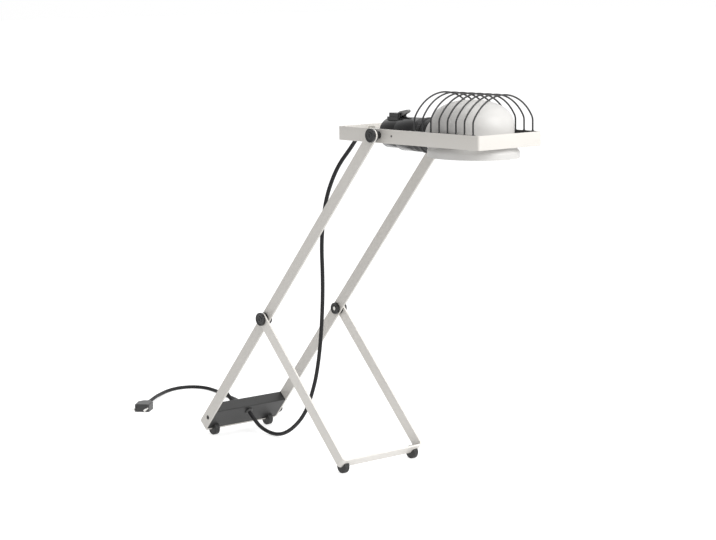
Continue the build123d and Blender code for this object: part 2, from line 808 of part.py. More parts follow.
# Leads, as straight runs joined by the widest arcs that fit between them
def corner_radii(route):
    radii = []
    for before, corner, after in zip(route, route[1:], route[2:]):
        arriving = corner - before
        leaving = after - corner
        half_turn = math.radians(arriving.get_angle(leaving)) / 2
        shorter = min(arriving.length, leaving.length)
        radii.append(0.45 * shorter / math.tan(half_turn))
    return radii


def cord(name, route):
    route = [Vector(*point) for point in route]
    radii = corner_radii(route)
    with BuildPart() as tube:
        with BuildLine() as path:
            FilletPolyline(*route, radius=radii)
        with BuildSketch(Plane(origin=route[0], z_dir=route[1] - route[0])):
            Circle(CORD_RADIUS)
        sweep()
    length = path.wires()[0].length
    filled = tube.part.volume / (math.pi * CORD_RADIUS**2 * length)
    print(name, "length", round(length), "least radius", round(min(radii), 1))
    print(name, "volume over section times length", round(filled, 4))
    keep(tube, name)
    return length


def ahead(plane, distance):
    """Point at a distance along a plane's local x, as three numbers."""
    point = plane.origin + plane.x_dir * distance
    return (point.X, point.Y, point.Z)


lead_start = exit_plane(LEAD_EXIT_LEVEL, 1)
cord(
    "head_lead",
    [
        ahead(lead_start, 3),
        ahead(lead_start, 16),
        (-254.4, 4.0, 9.5),
        (-234.4, 7.0, 3.6),
        (-212.4, 7.5, 4.2),
        (-190.4, 7.0, 12.0),
        (-168.4, 6.0, 26.0),
        (-150.4, 5.0, 41.5),
        (-136.4, 4.5, 59.0),
        (-124.4, 4.0, 82.0),
        (-110.4, 3.0, 114.0),
        (-98.4, 2.0, 165.0),
        (-91.0, 1.0, 225.0),
        (-89.0, 0.5, 270.0),
        (-90.4, 0.0, 316.0),
        (-86.4, 0.0, 352.0),
        (-78.4, 0.0, 388.0),
        (-66.4, 2.0, 418.0),
        (-52.4, 6.0, 444.0),
        (-36.4, 10.0, 467.0),
        (-18.4, 5.0, 487.5),
        (-2.4, 0.0, head.Z + HOLDER_Z),
        ahead(holder_plane, -97),
    ],
)

# Coil of the mains lead, spiralling in on the table and out again one layer up
def coil_point(turn):
    """Point and direction of the coil after a number of clockwise turns."""
    angle = math.radians(COIL_START - 360 * turn)
    outward = abs(turn - COIL_TURNS)
    radius = COIL_INNER + COIL_PITCH * outward
    climb = min(max((turn - COIL_TURNS) / COIL_CLIMB + 0.5, 0), 1)
    slope = COIL_CLIMB_SLOPE if outward < COIL_CLIMB / 4 else 0
    place = Vector(
        COIL_CENTRE[0] + radius * math.cos(angle),
        COIL_CENTRE[1] + radius * math.sin(angle),
        CORD_RADIUS + COIL_PITCH * climb,
    )
    return place, Vector(math.sin(angle), -math.cos(angle), slope).normalized()


def biarc(start, start_way, end, end_way):
    """Two arcs that join two points in two directions, inside a line block."""
    gap = end - start
    ways = start_way + end_way
    spread = 2 * (1 - start_way.dot(end_way))
    reach = (math.sqrt(gap.dot(ways) ** 2 + spread * gap.dot(gap)) - gap.dot(ways)) / spread
    joint = (start + start_way * reach + end - end_way * reach) / 2
    TangentArc(start, joint, tangent=start_way)
    TangentArc(end, joint, tangent=end_way * -1)


with BuildPart() as mains_coil:
    with BuildLine() as coil_path:
        for quarter in range(8 * COIL_TURNS):
            start, start_way = coil_point(quarter / 4)
            end, end_way = coil_point((quarter + 1) / 4)
            biarc(start, start_way, end, end_way)
    coil_start, coil_way = coil_point(0)
    coil_end, coil_end_way = coil_point(2 * COIL_TURNS)
    with BuildSketch(Plane(origin=coil_start, z_dir=coil_way)):
        Circle(CORD_RADIUS)
    sweep()
keep(mains_coil, "mains_coil")

coil_wire = coil_path.wires()[0]
coil_steps = 480
coil_dots = [coil_wire.position_at(step / coil_steps) for step in range(coil_steps + 1)]
apart = coil_steps // (4 * COIL_TURNS)
least = min(
    (coil_dots[a] - coil_dots[b]).length
    for a in range(coil_steps + 1)
    for b in range(a + apart, coil_steps + 1)
)
print("coil length", round(coil_wire.length), "least gap", round(least - 2 * CORD_RADIUS, 2))

mains_start = exit_plane(MAINS_EXIT_LEVEL, -1)
cord(
    "mains_lead_rear",
    [
        ahead(mains_start, 18),
        ahead(mains_start, 42),
        (-361.4, 4.0, 56.5),
        (-376.4, 12.0, 44.0),
        (-387.4, 24.0, 25.0),
        (-398.4, 40.0, 8.0),
        coil_start - coil_way * COIL_LEAD_IN,
        coil_start,
    ],
)

plug_start = Vector(-554.4, -3.9, PLUG_HALF_DEPTH)
plug_corner = Vector(-581.4, 27.0, PLUG_HALF_DEPTH)
plug_way = (plug_start - plug_corner).normalized()
cord(
    "mains_lead",
    [
        coil_end,
        coil_end + coil_end_way * COIL_LEAD_IN,
        (-462.4, 114.0, 6.5),
        (-485.4, 126.0, 3.0),
        (-525.4, 135.0, 3.0),
        (-568.4, 145.5, 3.0),
        (-602.4, 148.0, 3.0),
        (-625.4, 135.0, 3.0),
        (-632.4, 110.0, 3.0),
        (-624.4, 83.0, 3.0),
        (-606.4, 57.0, 4.0),
        plug_corner,
        plug_start,
    ],
)

# Two-pin plug lying on the table
plug_rear = plug_start + plug_way * PLUG_NECK
plug_plane = Plane(origin=plug_rear, x_dir=plug_way, z_dir=(0, 0, 1))
plug_front = Plane(
    origin=plug_rear + plug_way * PLUG_LENGTH,
    x_dir=plug_way.cross(Vector(0, 0, -1)),
    z_dir=plug_way,
)
with BuildPart() as plug_body:
    with BuildSketch(plug_plane):
        with BuildLine():
            Polyline(
                (0, -PLUG_REAR_HALF),
                (PLUG_SHOULDER, -PLUG_HALF_WIDTH),
                (PLUG_LENGTH, -PLUG_HALF_WIDTH + 1),
                (PLUG_LENGTH, PLUG_HALF_WIDTH - 1),
                (PLUG_SHOULDER, PLUG_HALF_WIDTH),
                (0, PLUG_REAR_HALF),
                close=True,
            )
        make_face()
        fillet(vertices(), PLUG_CORNER)
    extrude(amount=PLUG_HALF_DEPTH, both=True)
    fillet(edges().filter_by(Plane.XY).sort_by(Axis.Z)[-12:], PLUG_EDGE)
    with BuildSketch(Plane(origin=plug_rear, x_dir=plug_way, z_dir=(0, 0, 1))):
        with BuildLine():
            Polyline((-PLUG_NECK, 0), (-PLUG_NECK, 3.7), (3, 5.4), (3, 0), close=True)
        make_face()
    revolve(axis=Axis(plug_rear, plug_way))
keep(plug_body, "plug_body")

with BuildPart() as plug_pins:
    with BuildSketch(plug_front):
        with Locations((-PIN_HALF_SPACING, 0), (PIN_HALF_SPACING, 0)):
            Circle(PIN_RADIUS)
    extrude(amount=PIN_LENGTH)
    pin_ends = edges().filter_by(GeomType.CIRCLE).sort_by(Axis(plug_rear, plug_way))[-2:]
    fillet(pin_ends, PIN_TIP)
keep(plug_pins, "plug_pins")
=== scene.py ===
"""Looks of a folding table lamp: its finishes, leads and formed pieces, the studio and the camera."""

import json
import logging
import math
from collections.abc import Sequence
from dataclasses import dataclass, field, replace
from enum import Enum

import bmesh
import bpy
from mathutils import Matrix, Vector


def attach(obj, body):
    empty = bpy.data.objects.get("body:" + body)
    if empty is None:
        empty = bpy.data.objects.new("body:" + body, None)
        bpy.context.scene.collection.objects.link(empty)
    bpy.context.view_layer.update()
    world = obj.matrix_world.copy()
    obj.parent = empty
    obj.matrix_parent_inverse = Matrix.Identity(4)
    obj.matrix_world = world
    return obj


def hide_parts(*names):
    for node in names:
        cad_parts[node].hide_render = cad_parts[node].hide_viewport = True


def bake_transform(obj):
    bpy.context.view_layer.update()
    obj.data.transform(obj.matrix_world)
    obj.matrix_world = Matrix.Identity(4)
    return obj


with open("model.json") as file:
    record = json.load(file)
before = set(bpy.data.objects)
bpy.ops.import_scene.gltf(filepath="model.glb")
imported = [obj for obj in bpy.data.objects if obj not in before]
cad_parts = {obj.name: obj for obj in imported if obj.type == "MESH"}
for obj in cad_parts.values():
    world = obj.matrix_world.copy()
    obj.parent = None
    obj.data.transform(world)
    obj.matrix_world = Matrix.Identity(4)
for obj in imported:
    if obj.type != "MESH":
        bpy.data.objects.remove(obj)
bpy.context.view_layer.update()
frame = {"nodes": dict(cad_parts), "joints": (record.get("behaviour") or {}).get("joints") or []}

log = logging.getLogger("lamp")

Colour = tuple[float, float, float]
Point = tuple[float, float, float]
Pair = tuple[float, float]
Profile = Sequence[Pair]

FORWARD = Vector((1, 0, 0))
SIDEWAYS = Vector((0, 1, 0))
UPWARDS = Vector((0, 0, 1))
# Share of Z from which a direction counts as upright
STEEP = 0.9
SMOOTH_ANGLE = math.radians(32)
MERGE_DISTANCE = 0.0000005

# Rounding of edges: how near corners are joined, how flat faces count as one, and its steps
JOIN_DISTANCE = 0.000002
FLAT_ANGLE = math.radians(0.4)
EDGE_STEPS = 3
# How much of a rounded edge's width its middle point leaves standing
CORNER_SHARE = 0.3
SPLINE_ORDER = 3

# Range that a noise mostly lies in, and the octaves of each noise of a finish
NOISE_LOW, NOISE_HIGH = 0.3, 0.7
PATCH_DETAIL, STREAK_DETAIL, GRAIN_DETAIL, EDGE_DETAIL = 3, 4, 2, 4
# How many times finer the streaks of gloss are than the patches of colour
STREAK_FINENESS = 4
# Match of rounded and flat normals where the edge colour starts and where it is full; that colour is
# wear, and on the black paint also a painted highlight
EDGE_START, EDGE_FULL = 0.995, 0.9
EDGE_PATCH = 0.004
EDGE_LEAST = 0.2
EDGE_SAMPLES = 6


class Body(Enum):
    """Bodies of the lamp that a scene piece can ride on."""

    STAND = "stand"
    HEAD = "head"
    SWITCH = "switch"


class Section(Enum):
    """How many sides a round piece is cut into, by how large it shows."""

    WIRE = 16
    LEAD = 24
    SMALL = 64
    LARGE = 144


class Join(Enum):
    """What is done with a solid that meets another."""

    ADD = "UNION"
    CUT = "DIFFERENCE"


# Nodes and materials


class NodeSheet:
    """Node tree of one material, built a node at a time."""

    def __init__(self, name: str) -> None:
        """Start a material that holds its shader and output only.

        Args:
            name: Name of the material.
        """
        self.material = bpy.data.materials.new(name)
        self.material.use_nodes = True
        self.tree = self.material.node_tree
        self.shader = self.tree.nodes["Principled BSDF"]

    def add(self, kind: str, settings: dict | None = None, **sockets: object) -> bpy.types.Node:
        """Add a node and fill its sockets.

        Args:
            kind: Blender's type name for the node, without its ShaderNode prefix.
            settings: Properties of the node itself.
            **sockets: Values or sockets for its inputs, with spaces written as underscores.

        Returns:
            The new node.
        """
        node = self.tree.nodes.new(f"ShaderNode{kind}")
        for name, value in (settings or {}).items():
            setattr(node, name, value)
        for name, value in sockets.items():
            self.fill(node.inputs[name.replace("_", " ")], value)
        return node

    def fill(self, socket: bpy.types.NodeSocket, value: object) -> None:
        """Give an input socket a constant, or link it to another node's output."""
        if isinstance(value, bpy.types.NodeSocket):
            self.tree.links.new(value, socket)
        else:
            socket.default_value = value

    def noise(self, place: bpy.types.NodeSocket, size: float, detail: float) -> bpy.types.NodeSocket:
        """Return a noise from 0 to 1 whose features have a size in metres, with octaves on top."""
        node = self.add("TexNoise", Vector=place, Scale=1 / size, Detail=detail)
        return node.outputs["Fac"]

    def spread(self, share: object, low: float, high: float) -> bpy.types.NodeSocket:
        """Return a noise's usual range mapped onto the range from low to high."""
        node = self.add(
            "MapRange",
            Value=share,
            From_Min=NOISE_LOW,
            From_Max=NOISE_HIGH,
            To_Min=low,
            To_Max=high,
        )
        return node.outputs["Result"]

    def mixed(self, share: object, first: object, second: object) -> bpy.types.NodeSocket:
        """Mix two colours.

        Args:
            share: Share of the second colour.
            first: Colour at share 0.
            second: Colour at share 1.

        Returns:
            The mixed colour's output.
        """
        node = self.add("Mix", {"data_type": "RGBA"})
        self.fill(node.inputs[0], share)
        self.fill(node.inputs[6], first)
        self.fill(node.inputs[7], second)
        return node.outputs[2]


def shade(colour: Colour, share: float) -> tuple[float, float, float, float]:
    """Return a colour scaled by a share, with full alpha."""
    return (colour[0] * share, colour[1] * share, colour[2] * share, 1.0)


@dataclass(frozen=True)
class Finish:
    """Surface finish with fine grain, a little mottling and a colour along its edges: wear, and on
    the black paint also a painted highlight.

    Attributes:
        name: Name of the material.
        slot: Material slot of the record that it belongs to; not used.
        colour: Base colour, linear.
        roughness: Middle roughness.
        uneven: How far the roughness strays to each side.
        mottle: Share by which the colour strays to each side.
        mottle_size: Size of one patch, in metres.
        grain_size: Size of one grain, in metres.
        grain_depth: Depth of the grain, in metres.
        metallic: 1 for bare or plated metal.
        wear_and_highlight: Colour along the edges where they are rubbed; on the black paint it is
            also a painted highlight.
        wear_and_highlight_width: How far that edge colour reaches from an edge, in metres.
        wear_and_highlight_share: How strong that edge colour is.
        coat: Weight of a clear coat.
        specular: Specular level.
    """

    name: str
    slot: str
    colour: Colour
    roughness: float = 0.45
    uneven: float = 0.05
    mottle: float = 0.03
    mottle_size: float = 0.03
    grain_size: float = 0.0009
    grain_depth: float = 0.00002
    metallic: float = 0.0
    wear_and_highlight: Colour | None = None
    wear_and_highlight_width: float = 0.0007
    wear_and_highlight_share: float = 0.5
    coat: float = 0.0
    specular: float = 0.5

    def material(self) -> bpy.types.Material:
        """Return the finish's material, made on first use."""
        made = bpy.data.materials.get(self.name)
        if made is not None:
            return made
        sheet = NodeSheet(self.name)
        place = self.coordinates(sheet)
        patches = sheet.noise(place, self.mottle_size, PATCH_DETAIL)
        light, dark = shade(self.colour, 1 + self.mottle), shade(self.colour, 1 - self.mottle)
        colour = sheet.mixed(sheet.spread(patches, 0, 1), dark, light)
        # Edge colour: wear, and on the black paint also a painted highlight
        if self.wear_and_highlight is not None:
            colour = sheet.mixed(self.wear_and_highlight_mask(sheet, place), colour, shade(self.wear_and_highlight, 1))
        sheet.fill(sheet.shader.inputs["Base Color"], colour)
        streaks = sheet.noise(place, self.mottle_size / STREAK_FINENESS, STREAK_DETAIL)
        rough = sheet.spread(streaks, self.roughness - self.uneven, self.roughness + self.uneven)
        sheet.fill(sheet.shader.inputs["Roughness"], rough)
        grain_place = self.grain_coordinates(sheet, place)
        grain = sheet.noise(grain_place, self.grain_size, GRAIN_DETAIL)
        bump = sheet.add("Bump", Height=grain, Distance=self.grain_depth, Strength=1.0)
        sheet.fill(sheet.shader.inputs["Normal"], bump.outputs["Normal"])
        sheet.fill(sheet.shader.inputs["Metallic"], self.metallic)
        sheet.fill(sheet.shader.inputs["Specular IOR Level"], self.specular)
        sheet.fill(sheet.shader.inputs["Coat Weight"], self.coat)
        self.add_own(sheet)
        return sheet.material

    def coordinates(self, sheet: NodeSheet) -> bpy.types.NodeSocket:
        """Return the piece's own coordinates in metres."""
        return sheet.add("TexCoord").outputs["Object"]

    def grain_coordinates(
        self, sheet: NodeSheet, place: bpy.types.NodeSocket
    ) -> bpy.types.NodeSocket:
        """Return the coordinates that the grain follows, even in every direction."""
        return place

    def wear_and_highlight_mask(self, sheet: NodeSheet, place: bpy.types.NodeSocket) -> bpy.types.NodeSocket:
        """Add a mask that is 1 on edges: for wear, and on the black paint also for a painted
        highlight.

        Args:
            sheet: Node tree to add to.
            place: Coordinates in metres.

        Returns:
            Share of the edge colour.
        """
        bevel = sheet.add("Bevel", {"samples": EDGE_SAMPLES}, Radius=self.wear_and_highlight_width)
        flat = sheet.add("NewGeometry").outputs["Normal"]
        match = sheet.add("VectorMath", {"operation": "DOT_PRODUCT"})
        sheet.fill(match.inputs[0], bevel.outputs["Normal"])
        sheet.fill(match.inputs[1], flat)
        edge = sheet.add(
            "MapRange",
            Value=match.outputs["Value"],
            From_Min=EDGE_START,
            From_Max=EDGE_FULL,
            To_Max=1.0,
        )
        patches = sheet.noise(place, EDGE_PATCH, EDGE_DETAIL)
        rubbed_and_lit = sheet.spread(patches, EDGE_LEAST, self.wear_and_highlight_share)
        both = sheet.add("Math", {"operation": "MULTIPLY"})
        sheet.fill(both.inputs[0], edge.outputs["Result"])
        sheet.fill(both.inputs[1], rubbed_and_lit)
        return both.outputs["Value"]

    def add_own(self, sheet: NodeSheet) -> None:
        """Add what only this kind of finish has, which is nothing here."""


@dataclass(frozen=True)
class Drawn(Finish):
    """Metal whose grain runs in one direction, as turned or drawn.

    Attributes:
        stretch: Scale of the grain along X, Y and Z, under 1 for long streaks.
    """

    stretch: Point = (1.0, 1.0, 1.0)

    def grain_coordinates(
        self, sheet: NodeSheet, place: bpy.types.NodeSocket
    ) -> bpy.types.NodeSocket:
        """Return coordinates stretched along the streaks."""
        mapping = sheet.add("Mapping", Vector=place, Scale=self.stretch)
        return mapping.outputs["Vector"]


@dataclass(frozen=True)
class Opal(Finish):
    """Milky glass that light passes into.

    Attributes:
        milkiness: Share of the light that scatters inside it.
        reach: How far red, green and blue light travel, as shares of the depth.
        depth: How far light travels inside it, in metres.
    """

    milkiness: float = 0.6
    reach: Colour = (1.0, 0.95, 0.85)
    depth: float = 0.004

    def add_own(self, sheet: NodeSheet) -> None:
        """Let light scatter in the glass."""
        sheet.fill(sheet.shader.inputs["Subsurface Weight"], self.milkiness)
        sheet.fill(sheet.shader.inputs["Subsurface Radius"], self.reach)
        sheet.fill(sheet.shader.inputs["Subsurface Scale"], self.depth)


ENAMEL = Finish(
    "warm_white_enamel",
    "enamel",
    (0.64, 0.617, 0.58),
    roughness=0.38,
    mottle=0.012,
    mottle_size=0.06,
    grain_size=0.0013,
    grain_depth=0.000012,
    wear_and_highlight=(0.52, 0.5, 0.47),
    wear_and_highlight_width=0.0005,
    wear_and_highlight_share=0.4,
    coat=0.15,
)
# The legs get a lighter copy of the arms' enamel. The lighter tone is painted light, standing in for
# the brighter light that falls on the legs; legs and arms are one paint.
LEG_ENAMEL_PAINTED_LIGHT = replace(
    ENAMEL, name="leg_enamel_painted_light", colour=(0.74, 0.715, 0.675), wear_and_highlight=(0.56, 0.54, 0.5)
)
# The bowl's grey is a darkened copy of a white enamel: painted shade over the dome, not the bowl's
# own colour.
BOWL_ENAMEL_PAINTED_SHADE = Finish(
    "bowl_enamel_painted_shade",
    "enamel",
    (0.575, 0.565, 0.548),
    roughness=0.42,
    mottle=0.01,
    mottle_size=0.05,
    grain_size=0.0015,
    grain_depth=0.00001,
    wear_and_highlight=(0.55, 0.53, 0.5),
    wear_and_highlight_share=0.3,
)
# The light edge colour is partly rubbing and partly a painted highlight along the case's edges.
BLACK_PAINT = Finish(
    "black_paint",
    "black_paint",
    (0.022, 0.022, 0.023),
    roughness=0.46,
    uneven=0.07,
    mottle=0.12,
    mottle_size=0.012,
    grain_size=0.0007,
    grain_depth=0.00004,
    wear_and_highlight=(0.3, 0.29, 0.28),
    wear_and_highlight_width=0.0015,
    wear_and_highlight_share=1.0,
)
WIRE_PAINT = Finish(
    "wire_paint",
    "black_paint",
    (0.016, 0.016, 0.017),
    roughness=0.4,
    mottle=0.1,
    mottle_size=0.01,
    grain_size=0.0006,
    grain_depth=0.00002,
)
BLACK_PLASTIC = Finish(
    "black_plastic",
    "black_plastic",
    (0.018, 0.018, 0.019),
    roughness=0.4,
    uneven=0.06,
    mottle=0.1,
    mottle_size=0.008,
    grain_size=0.0005,
    grain_depth=0.000015,
    wear_and_highlight=(0.06, 0.06, 0.06),
    wear_and_highlight_width=0.0005,
    wear_and_highlight_share=0.6,
)
KNOB_PLASTIC = Finish(
    "knob_plastic",
    "black_plastic",
    (0.012, 0.012, 0.0125),
    roughness=0.27,
    uneven=0.05,
    mottle=0.1,
    mottle_size=0.006,
    grain_size=0.0006,
    grain_depth=0.00001,
    wear_and_highlight=(0.05, 0.05, 0.05),
    wear_and_highlight_width=0.0004,
    wear_and_highlight_share=0.5,
)
HOLDER_PLASTIC = Finish(
    "holder_plastic",
    "black_gloss",
    (0.009, 0.009, 0.0095),
    roughness=0.15,
    uneven=0.03,
    mottle=0.1,
    mottle_size=0.01,
    grain_size=0.0008,
    grain_depth=0.00001,
    wear_and_highlight=(0.07, 0.07, 0.07),
    wear_and_highlight_width=0.0005,
    wear_and_highlight_share=0.5,
)
RUBBER = Finish(
    "foot_rubber",
    "rubber",
    (0.02, 0.02, 0.02),
    roughness=0.55,
    uneven=0.1,
    mottle=0.15,
    mottle_size=0.004,
    grain_size=0.0006,
    grain_depth=0.00003,
    wear_and_highlight=(0.07, 0.068, 0.065),
    wear_and_highlight_width=0.0008,
    wear_and_highlight_share=0.6,
)
JACKET = Finish(
    "lead_jacket",
    "cord",
    (0.013, 0.013, 0.014),
    roughness=0.55,
    specular=0.25,
    uneven=0.06,
    mottle=0.12,
    mottle_size=0.02,
    grain_size=0.0007,
    grain_depth=0.000015,
)
ZINC = Drawn(
    "zinc_plate",
    "zinc_steel",
    (0.62, 0.61, 0.58),
    roughness=0.3,
    mottle=0.06,
    mottle_size=0.006,
    grain_size=0.0004,
    grain_depth=0.00001,
    metallic=1.0,
    stretch=(1.0, 0.08, 1.0),
)
LEVER_METAL = Finish(
    "lever_metal",
    "grey_plastic",
    (0.24, 0.24, 0.235),
    roughness=0.27,
    mottle=0.05,
    mottle_size=0.004,
    grain_size=0.0004,
    grain_depth=0.000006,
    metallic=0.3,
)
PORCELAIN = Finish("porcelain", "porcelain", (0.8, 0.78, 0.73), roughness=0.22, coat=0.5)
TERMINAL_PLASTIC = Finish("terminal_plastic", "white_plastic", (0.74, 0.73, 0.7), roughness=0.5)
CAST_IRON = Finish(
    "cast_weight",
    "cast_weight",
    (0.12, 0.12, 0.12),
    roughness=0.7,
    grain_size=0.002,
    grain_depth=0.0002,
    metallic=0.6,
)
BRASS = Finish("brass", "brass", (0.72, 0.53, 0.24), roughness=0.3, metallic=1.0)
CAP_METAL = Finish("cap_metal", "nickel_cap", (0.7, 0.7, 0.68), roughness=0.32, metallic=1.0)
PIN_METAL = Finish("pin_metal", "nickel_pins", (0.78, 0.77, 0.74), roughness=0.18, metallic=1.0)
OPAL_GLASS = Opal("opal_glass", "opal_glass", (0.86, 0.85, 0.82), roughness=0.16, coat=0.4)
SCREW_STEEL = Finish(
    "black_steel", "black_steel", (0.03, 0.03, 0.03), roughness=0.38, wear_and_highlight=(0.2, 0.2, 0.2)
)


def dress(piece: bpy.types.Object, finish: Finish) -> None:
    """Give a piece one finish all over.

    Args:
        piece: Scene piece or fixed node.
        finish: Finish that it gets.
    """
    if not piece.material_slots:
        piece.data.materials.append(None)
    for slot in piece.material_slots:
        slot.material = finish.material()


def place_piece(piece: bpy.types.Object, finish: Finish, body: Body, *nodes: str) -> None:
    """Finish a piece, let it ride on a body and let it stand for nodes.

    Args:
        piece: The new piece.
        finish: Finish that it gets.
        body: Body that carries it.
        *nodes: Fixed nodes that it stands for.
    """
    dress(piece, finish)
    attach(piece, body.value)
    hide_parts(*nodes)
    log.info("%s stands for %s", piece.name, ", ".join(nodes))


def dress_nodes(finish: Finish, *names: str) -> None:
    """Give fixed nodes a finish.

    Args:
        finish: Finish that they get.
        *names: Names of the nodes.
    """
    for name in names:
        dress(frame["nodes"][name], finish)
        log.info("dressed %s in %s", name, finish.name)


def ease_edges(width: float, *names: str) -> None:
    """Round the edges of fixed nodes by a width in metres, without touching their meshes."""
    for name in names:
        add_rounding(frame["nodes"][name], width)


def add_rounding(piece: bpy.types.Object, width: float) -> None:
    """Add the modifiers that round a piece's edges.

    Args:
        piece: Mesh piece.
        width: Width of the rounding, in metres.
    """
    weld = piece.modifiers.new("joined_corners", "WELD")
    weld.merge_threshold = JOIN_DISTANCE
    flat = piece.modifiers.new("whole_faces", "DECIMATE")
    flat.decimate_type = "DISSOLVE"
    flat.angle_limit = FLAT_ANGLE
    edge = piece.modifiers.new("eased_edges", "BEVEL")
    edge.width = width
    edge.segments = EDGE_STEPS
    edge.limit_method = "ANGLE"
    edge.angle_limit = SMOOTH_ANGLE
    edge.harden_normals = True


# Meshes


def across(axis: Vector) -> tuple[Vector, Vector]:
    """Return two unit vectors square to an axis and to each other."""
    helper = UPWARDS if abs(axis.z) < STEEP else FORWARD
    first = axis.cross(helper).normalized()
    return first, axis.cross(first).normalized()


@dataclass
class Shape:
    """Corners and faces gathered for one piece.

    Attributes:
        corners: Places of the corners so far.
        faces: Faces so far.
    """

    corners: list[Vector] = field(default_factory=list)
    faces: list[tuple[int, ...]] = field(default_factory=list)

    def follow(self, line: Sequence[Vector], radii: Sequence[float], section: Section) -> None:
        """Add one capped tube along a line.

        Args:
            line: Points that it follows, close together.
            radii: Radius at each point, in metres.
            section: How fine its circle is.
        """
        sides = section.value
        base = len(self.corners)
        ways = [
            (line[min(step + 1, len(line) - 1)] - line[max(step - 1, 0)]).normalized()
            for step in range(len(line))
        ]
        first = across(ways[0])[0]
        for point, way, radius in zip(line, ways, radii):
            first = (first - way * first.dot(way)).normalized()
            self.corners += circle(point, first, way.cross(first), radius, sides)
        for ring in range(len(line) - 1):
            for side in range(sides):
                here = base + ring * sides + side
                after = base + ring * sides + (side + 1) % sides
                self.faces.append((here, after, after + sides, here + sides))
        last = base + (len(line) - 1) * sides
        self.faces.append(tuple(base + side for side in range(sides)))
        self.faces.append(tuple(last + side for side in range(sides)))

    def turn(self, origin: Vector, axis: Vector, profile: Profile, section: Section) -> None:
        """Add a closed profile turned about an axis.

        Args:
            origin: Point on the axis that distances start from.
            axis: Direction of the axis.
            profile: Distance along the axis and radius of each point, in metres, in order round.
            section: How fine the circle is.
        """
        first, second = across(axis)
        rows = [
            circle(origin + axis * along, first, second, radius, section.value)
            for along, radius in profile
        ]
        self.wrap(rows)

    def wrap(self, rows: Sequence[Sequence[Vector]]) -> None:
        """Add a ring of closed rows, each joined to the next and the last to the first.

        Args:
            rows: Rows of as many corners each.
        """
        base = len(self.corners)
        count, sides = len(rows), len(rows[0])
        for row in rows:
            self.corners += row
        for row in range(count):
            here, there = base + row * sides, base + (row + 1) % count * sides
            for side in range(sides):
                after = (side + 1) % sides
                self.faces.append((here + side, here + after, there + after, there + side))

    def slab(self, outline: Sequence[Vector], depth: Vector) -> None:
        """Add a flat outline drawn out into a slab.

        Args:
            outline: Corners of the outline, in order round.
            depth: How far and which way it is drawn out.
        """
        base = len(self.corners)
        sides = len(outline)
        self.corners += [*outline, *(corner + depth for corner in outline)]
        self.faces.append(tuple(range(base, base + sides)))
        self.faces.append(tuple(range(base + sides, base + 2 * sides)))
        for side in range(sides):
            after = (side + 1) % sides
            here, there = base + side, base + after
            self.faces.append((here, there, there + sides, here + sides))

    def piece(self, name: str) -> bpy.types.Object:
        """Return the gathered shape as a piece with all its faces outwards.

        Args:
            name: Name of the piece.

        Returns:
            The new piece.
        """
        work = bmesh.new()
        points = [work.verts.new(corner) for corner in self.corners]
        for face in self.faces:
            work.faces.new([points[corner] for corner in face])
        bmesh.ops.remove_doubles(work, verts=work.verts, dist=MERGE_DISTANCE)
        bmesh.ops.recalc_face_normals(work, faces=work.faces)
        mesh = bpy.data.meshes.new(name)
        work.to_mesh(mesh)
        work.free()
        mesh.shade_smooth()
        mesh.set_sharp_from_angle(angle=SMOOTH_ANGLE)
        piece = bpy.data.objects.new(name, mesh)
        bpy.context.scene.collection.objects.link(piece)
        return piece


def turned(
    name: str, origin: Vector, axis: Vector, profile: Profile, section: Section
) -> bpy.types.Object:
    """Return a closed profile turned about an axis as a piece of its own."""
    shape = Shape()
    shape.turn(origin, axis, profile, section)
    return shape.piece(name)


def circle(
    centre: Vector, first: Vector, second: Vector, radius: float, sides: int
) -> list[Vector]:
    """Return points of a circle in order round, in the plane of two unit vectors."""
    return [
        centre
        + first * radius * math.cos(math.tau * side / sides)
        + second * radius * math.sin(math.tau * side / sides)
        for side in range(sides)
    ]


def combine(target: bpy.types.Object, tool: bpy.types.Object, join: Join) -> None:
    """Join a solid to another or cut it away, and remove it.

    Args:
        target: Solid that is changed.
        tool: Solid that is used up.
        join: What is done with it.
    """
    step = target.modifiers.new("join", "BOOLEAN")
    step.operation = join.value
    step.object = tool
    step.solver = "EXACT"
    graph = bpy.context.evaluated_depsgraph_get()
    mesh = bpy.data.meshes.new_from_object(target.evaluated_get(graph))
    target.modifiers.clear()
    target.data = mesh
    mesh.shade_smooth()
    mesh.set_sharp_from_angle(angle=SMOOTH_ANGLE)
    bpy.data.objects.remove(tool)


def smooth_line(points: Profile, leave: Pair, arrive: Pair, steps: int) -> list[Pair]:
    """Return a smooth line through points, with its directions at both ends.

    Args:
        points: Points that it passes through.
        leave: Unit direction at the first point.
        arrive: Unit direction at the last point.
        steps: Points that each stretch gets.

    Returns:
        Points along the line, the first and the last among them.
    """
    places = [Vector(point) for point in points]
    gaps = [(after - here).length for here, after in zip(places, places[1:])]
    slopes = [(after - here) / gap for here, after, gap in zip(places, places[1:], gaps)]
    ways = [Vector(leave)]
    for before, after, back, ahead in zip(slopes, slopes[1:], gaps, gaps[1:]):
        ways.append((before * ahead + after * back) / (back + ahead))
    ways.append(Vector(arrive))
    line = [tuple(places[0])]
    for stretch, gap in enumerate(gaps):
        for step in range(1, steps + 1):
            share = step / steps
            rise = share * share * (3 - 2 * share)
            start = places[stretch] * (1 - rise) + places[stretch + 1] * rise
            swing = ways[stretch] * share * (1 - share) ** 2
            swing -= ways[stretch + 1] * share * share * (1 - share)
            line.append(tuple(start + swing * gap))
    return line


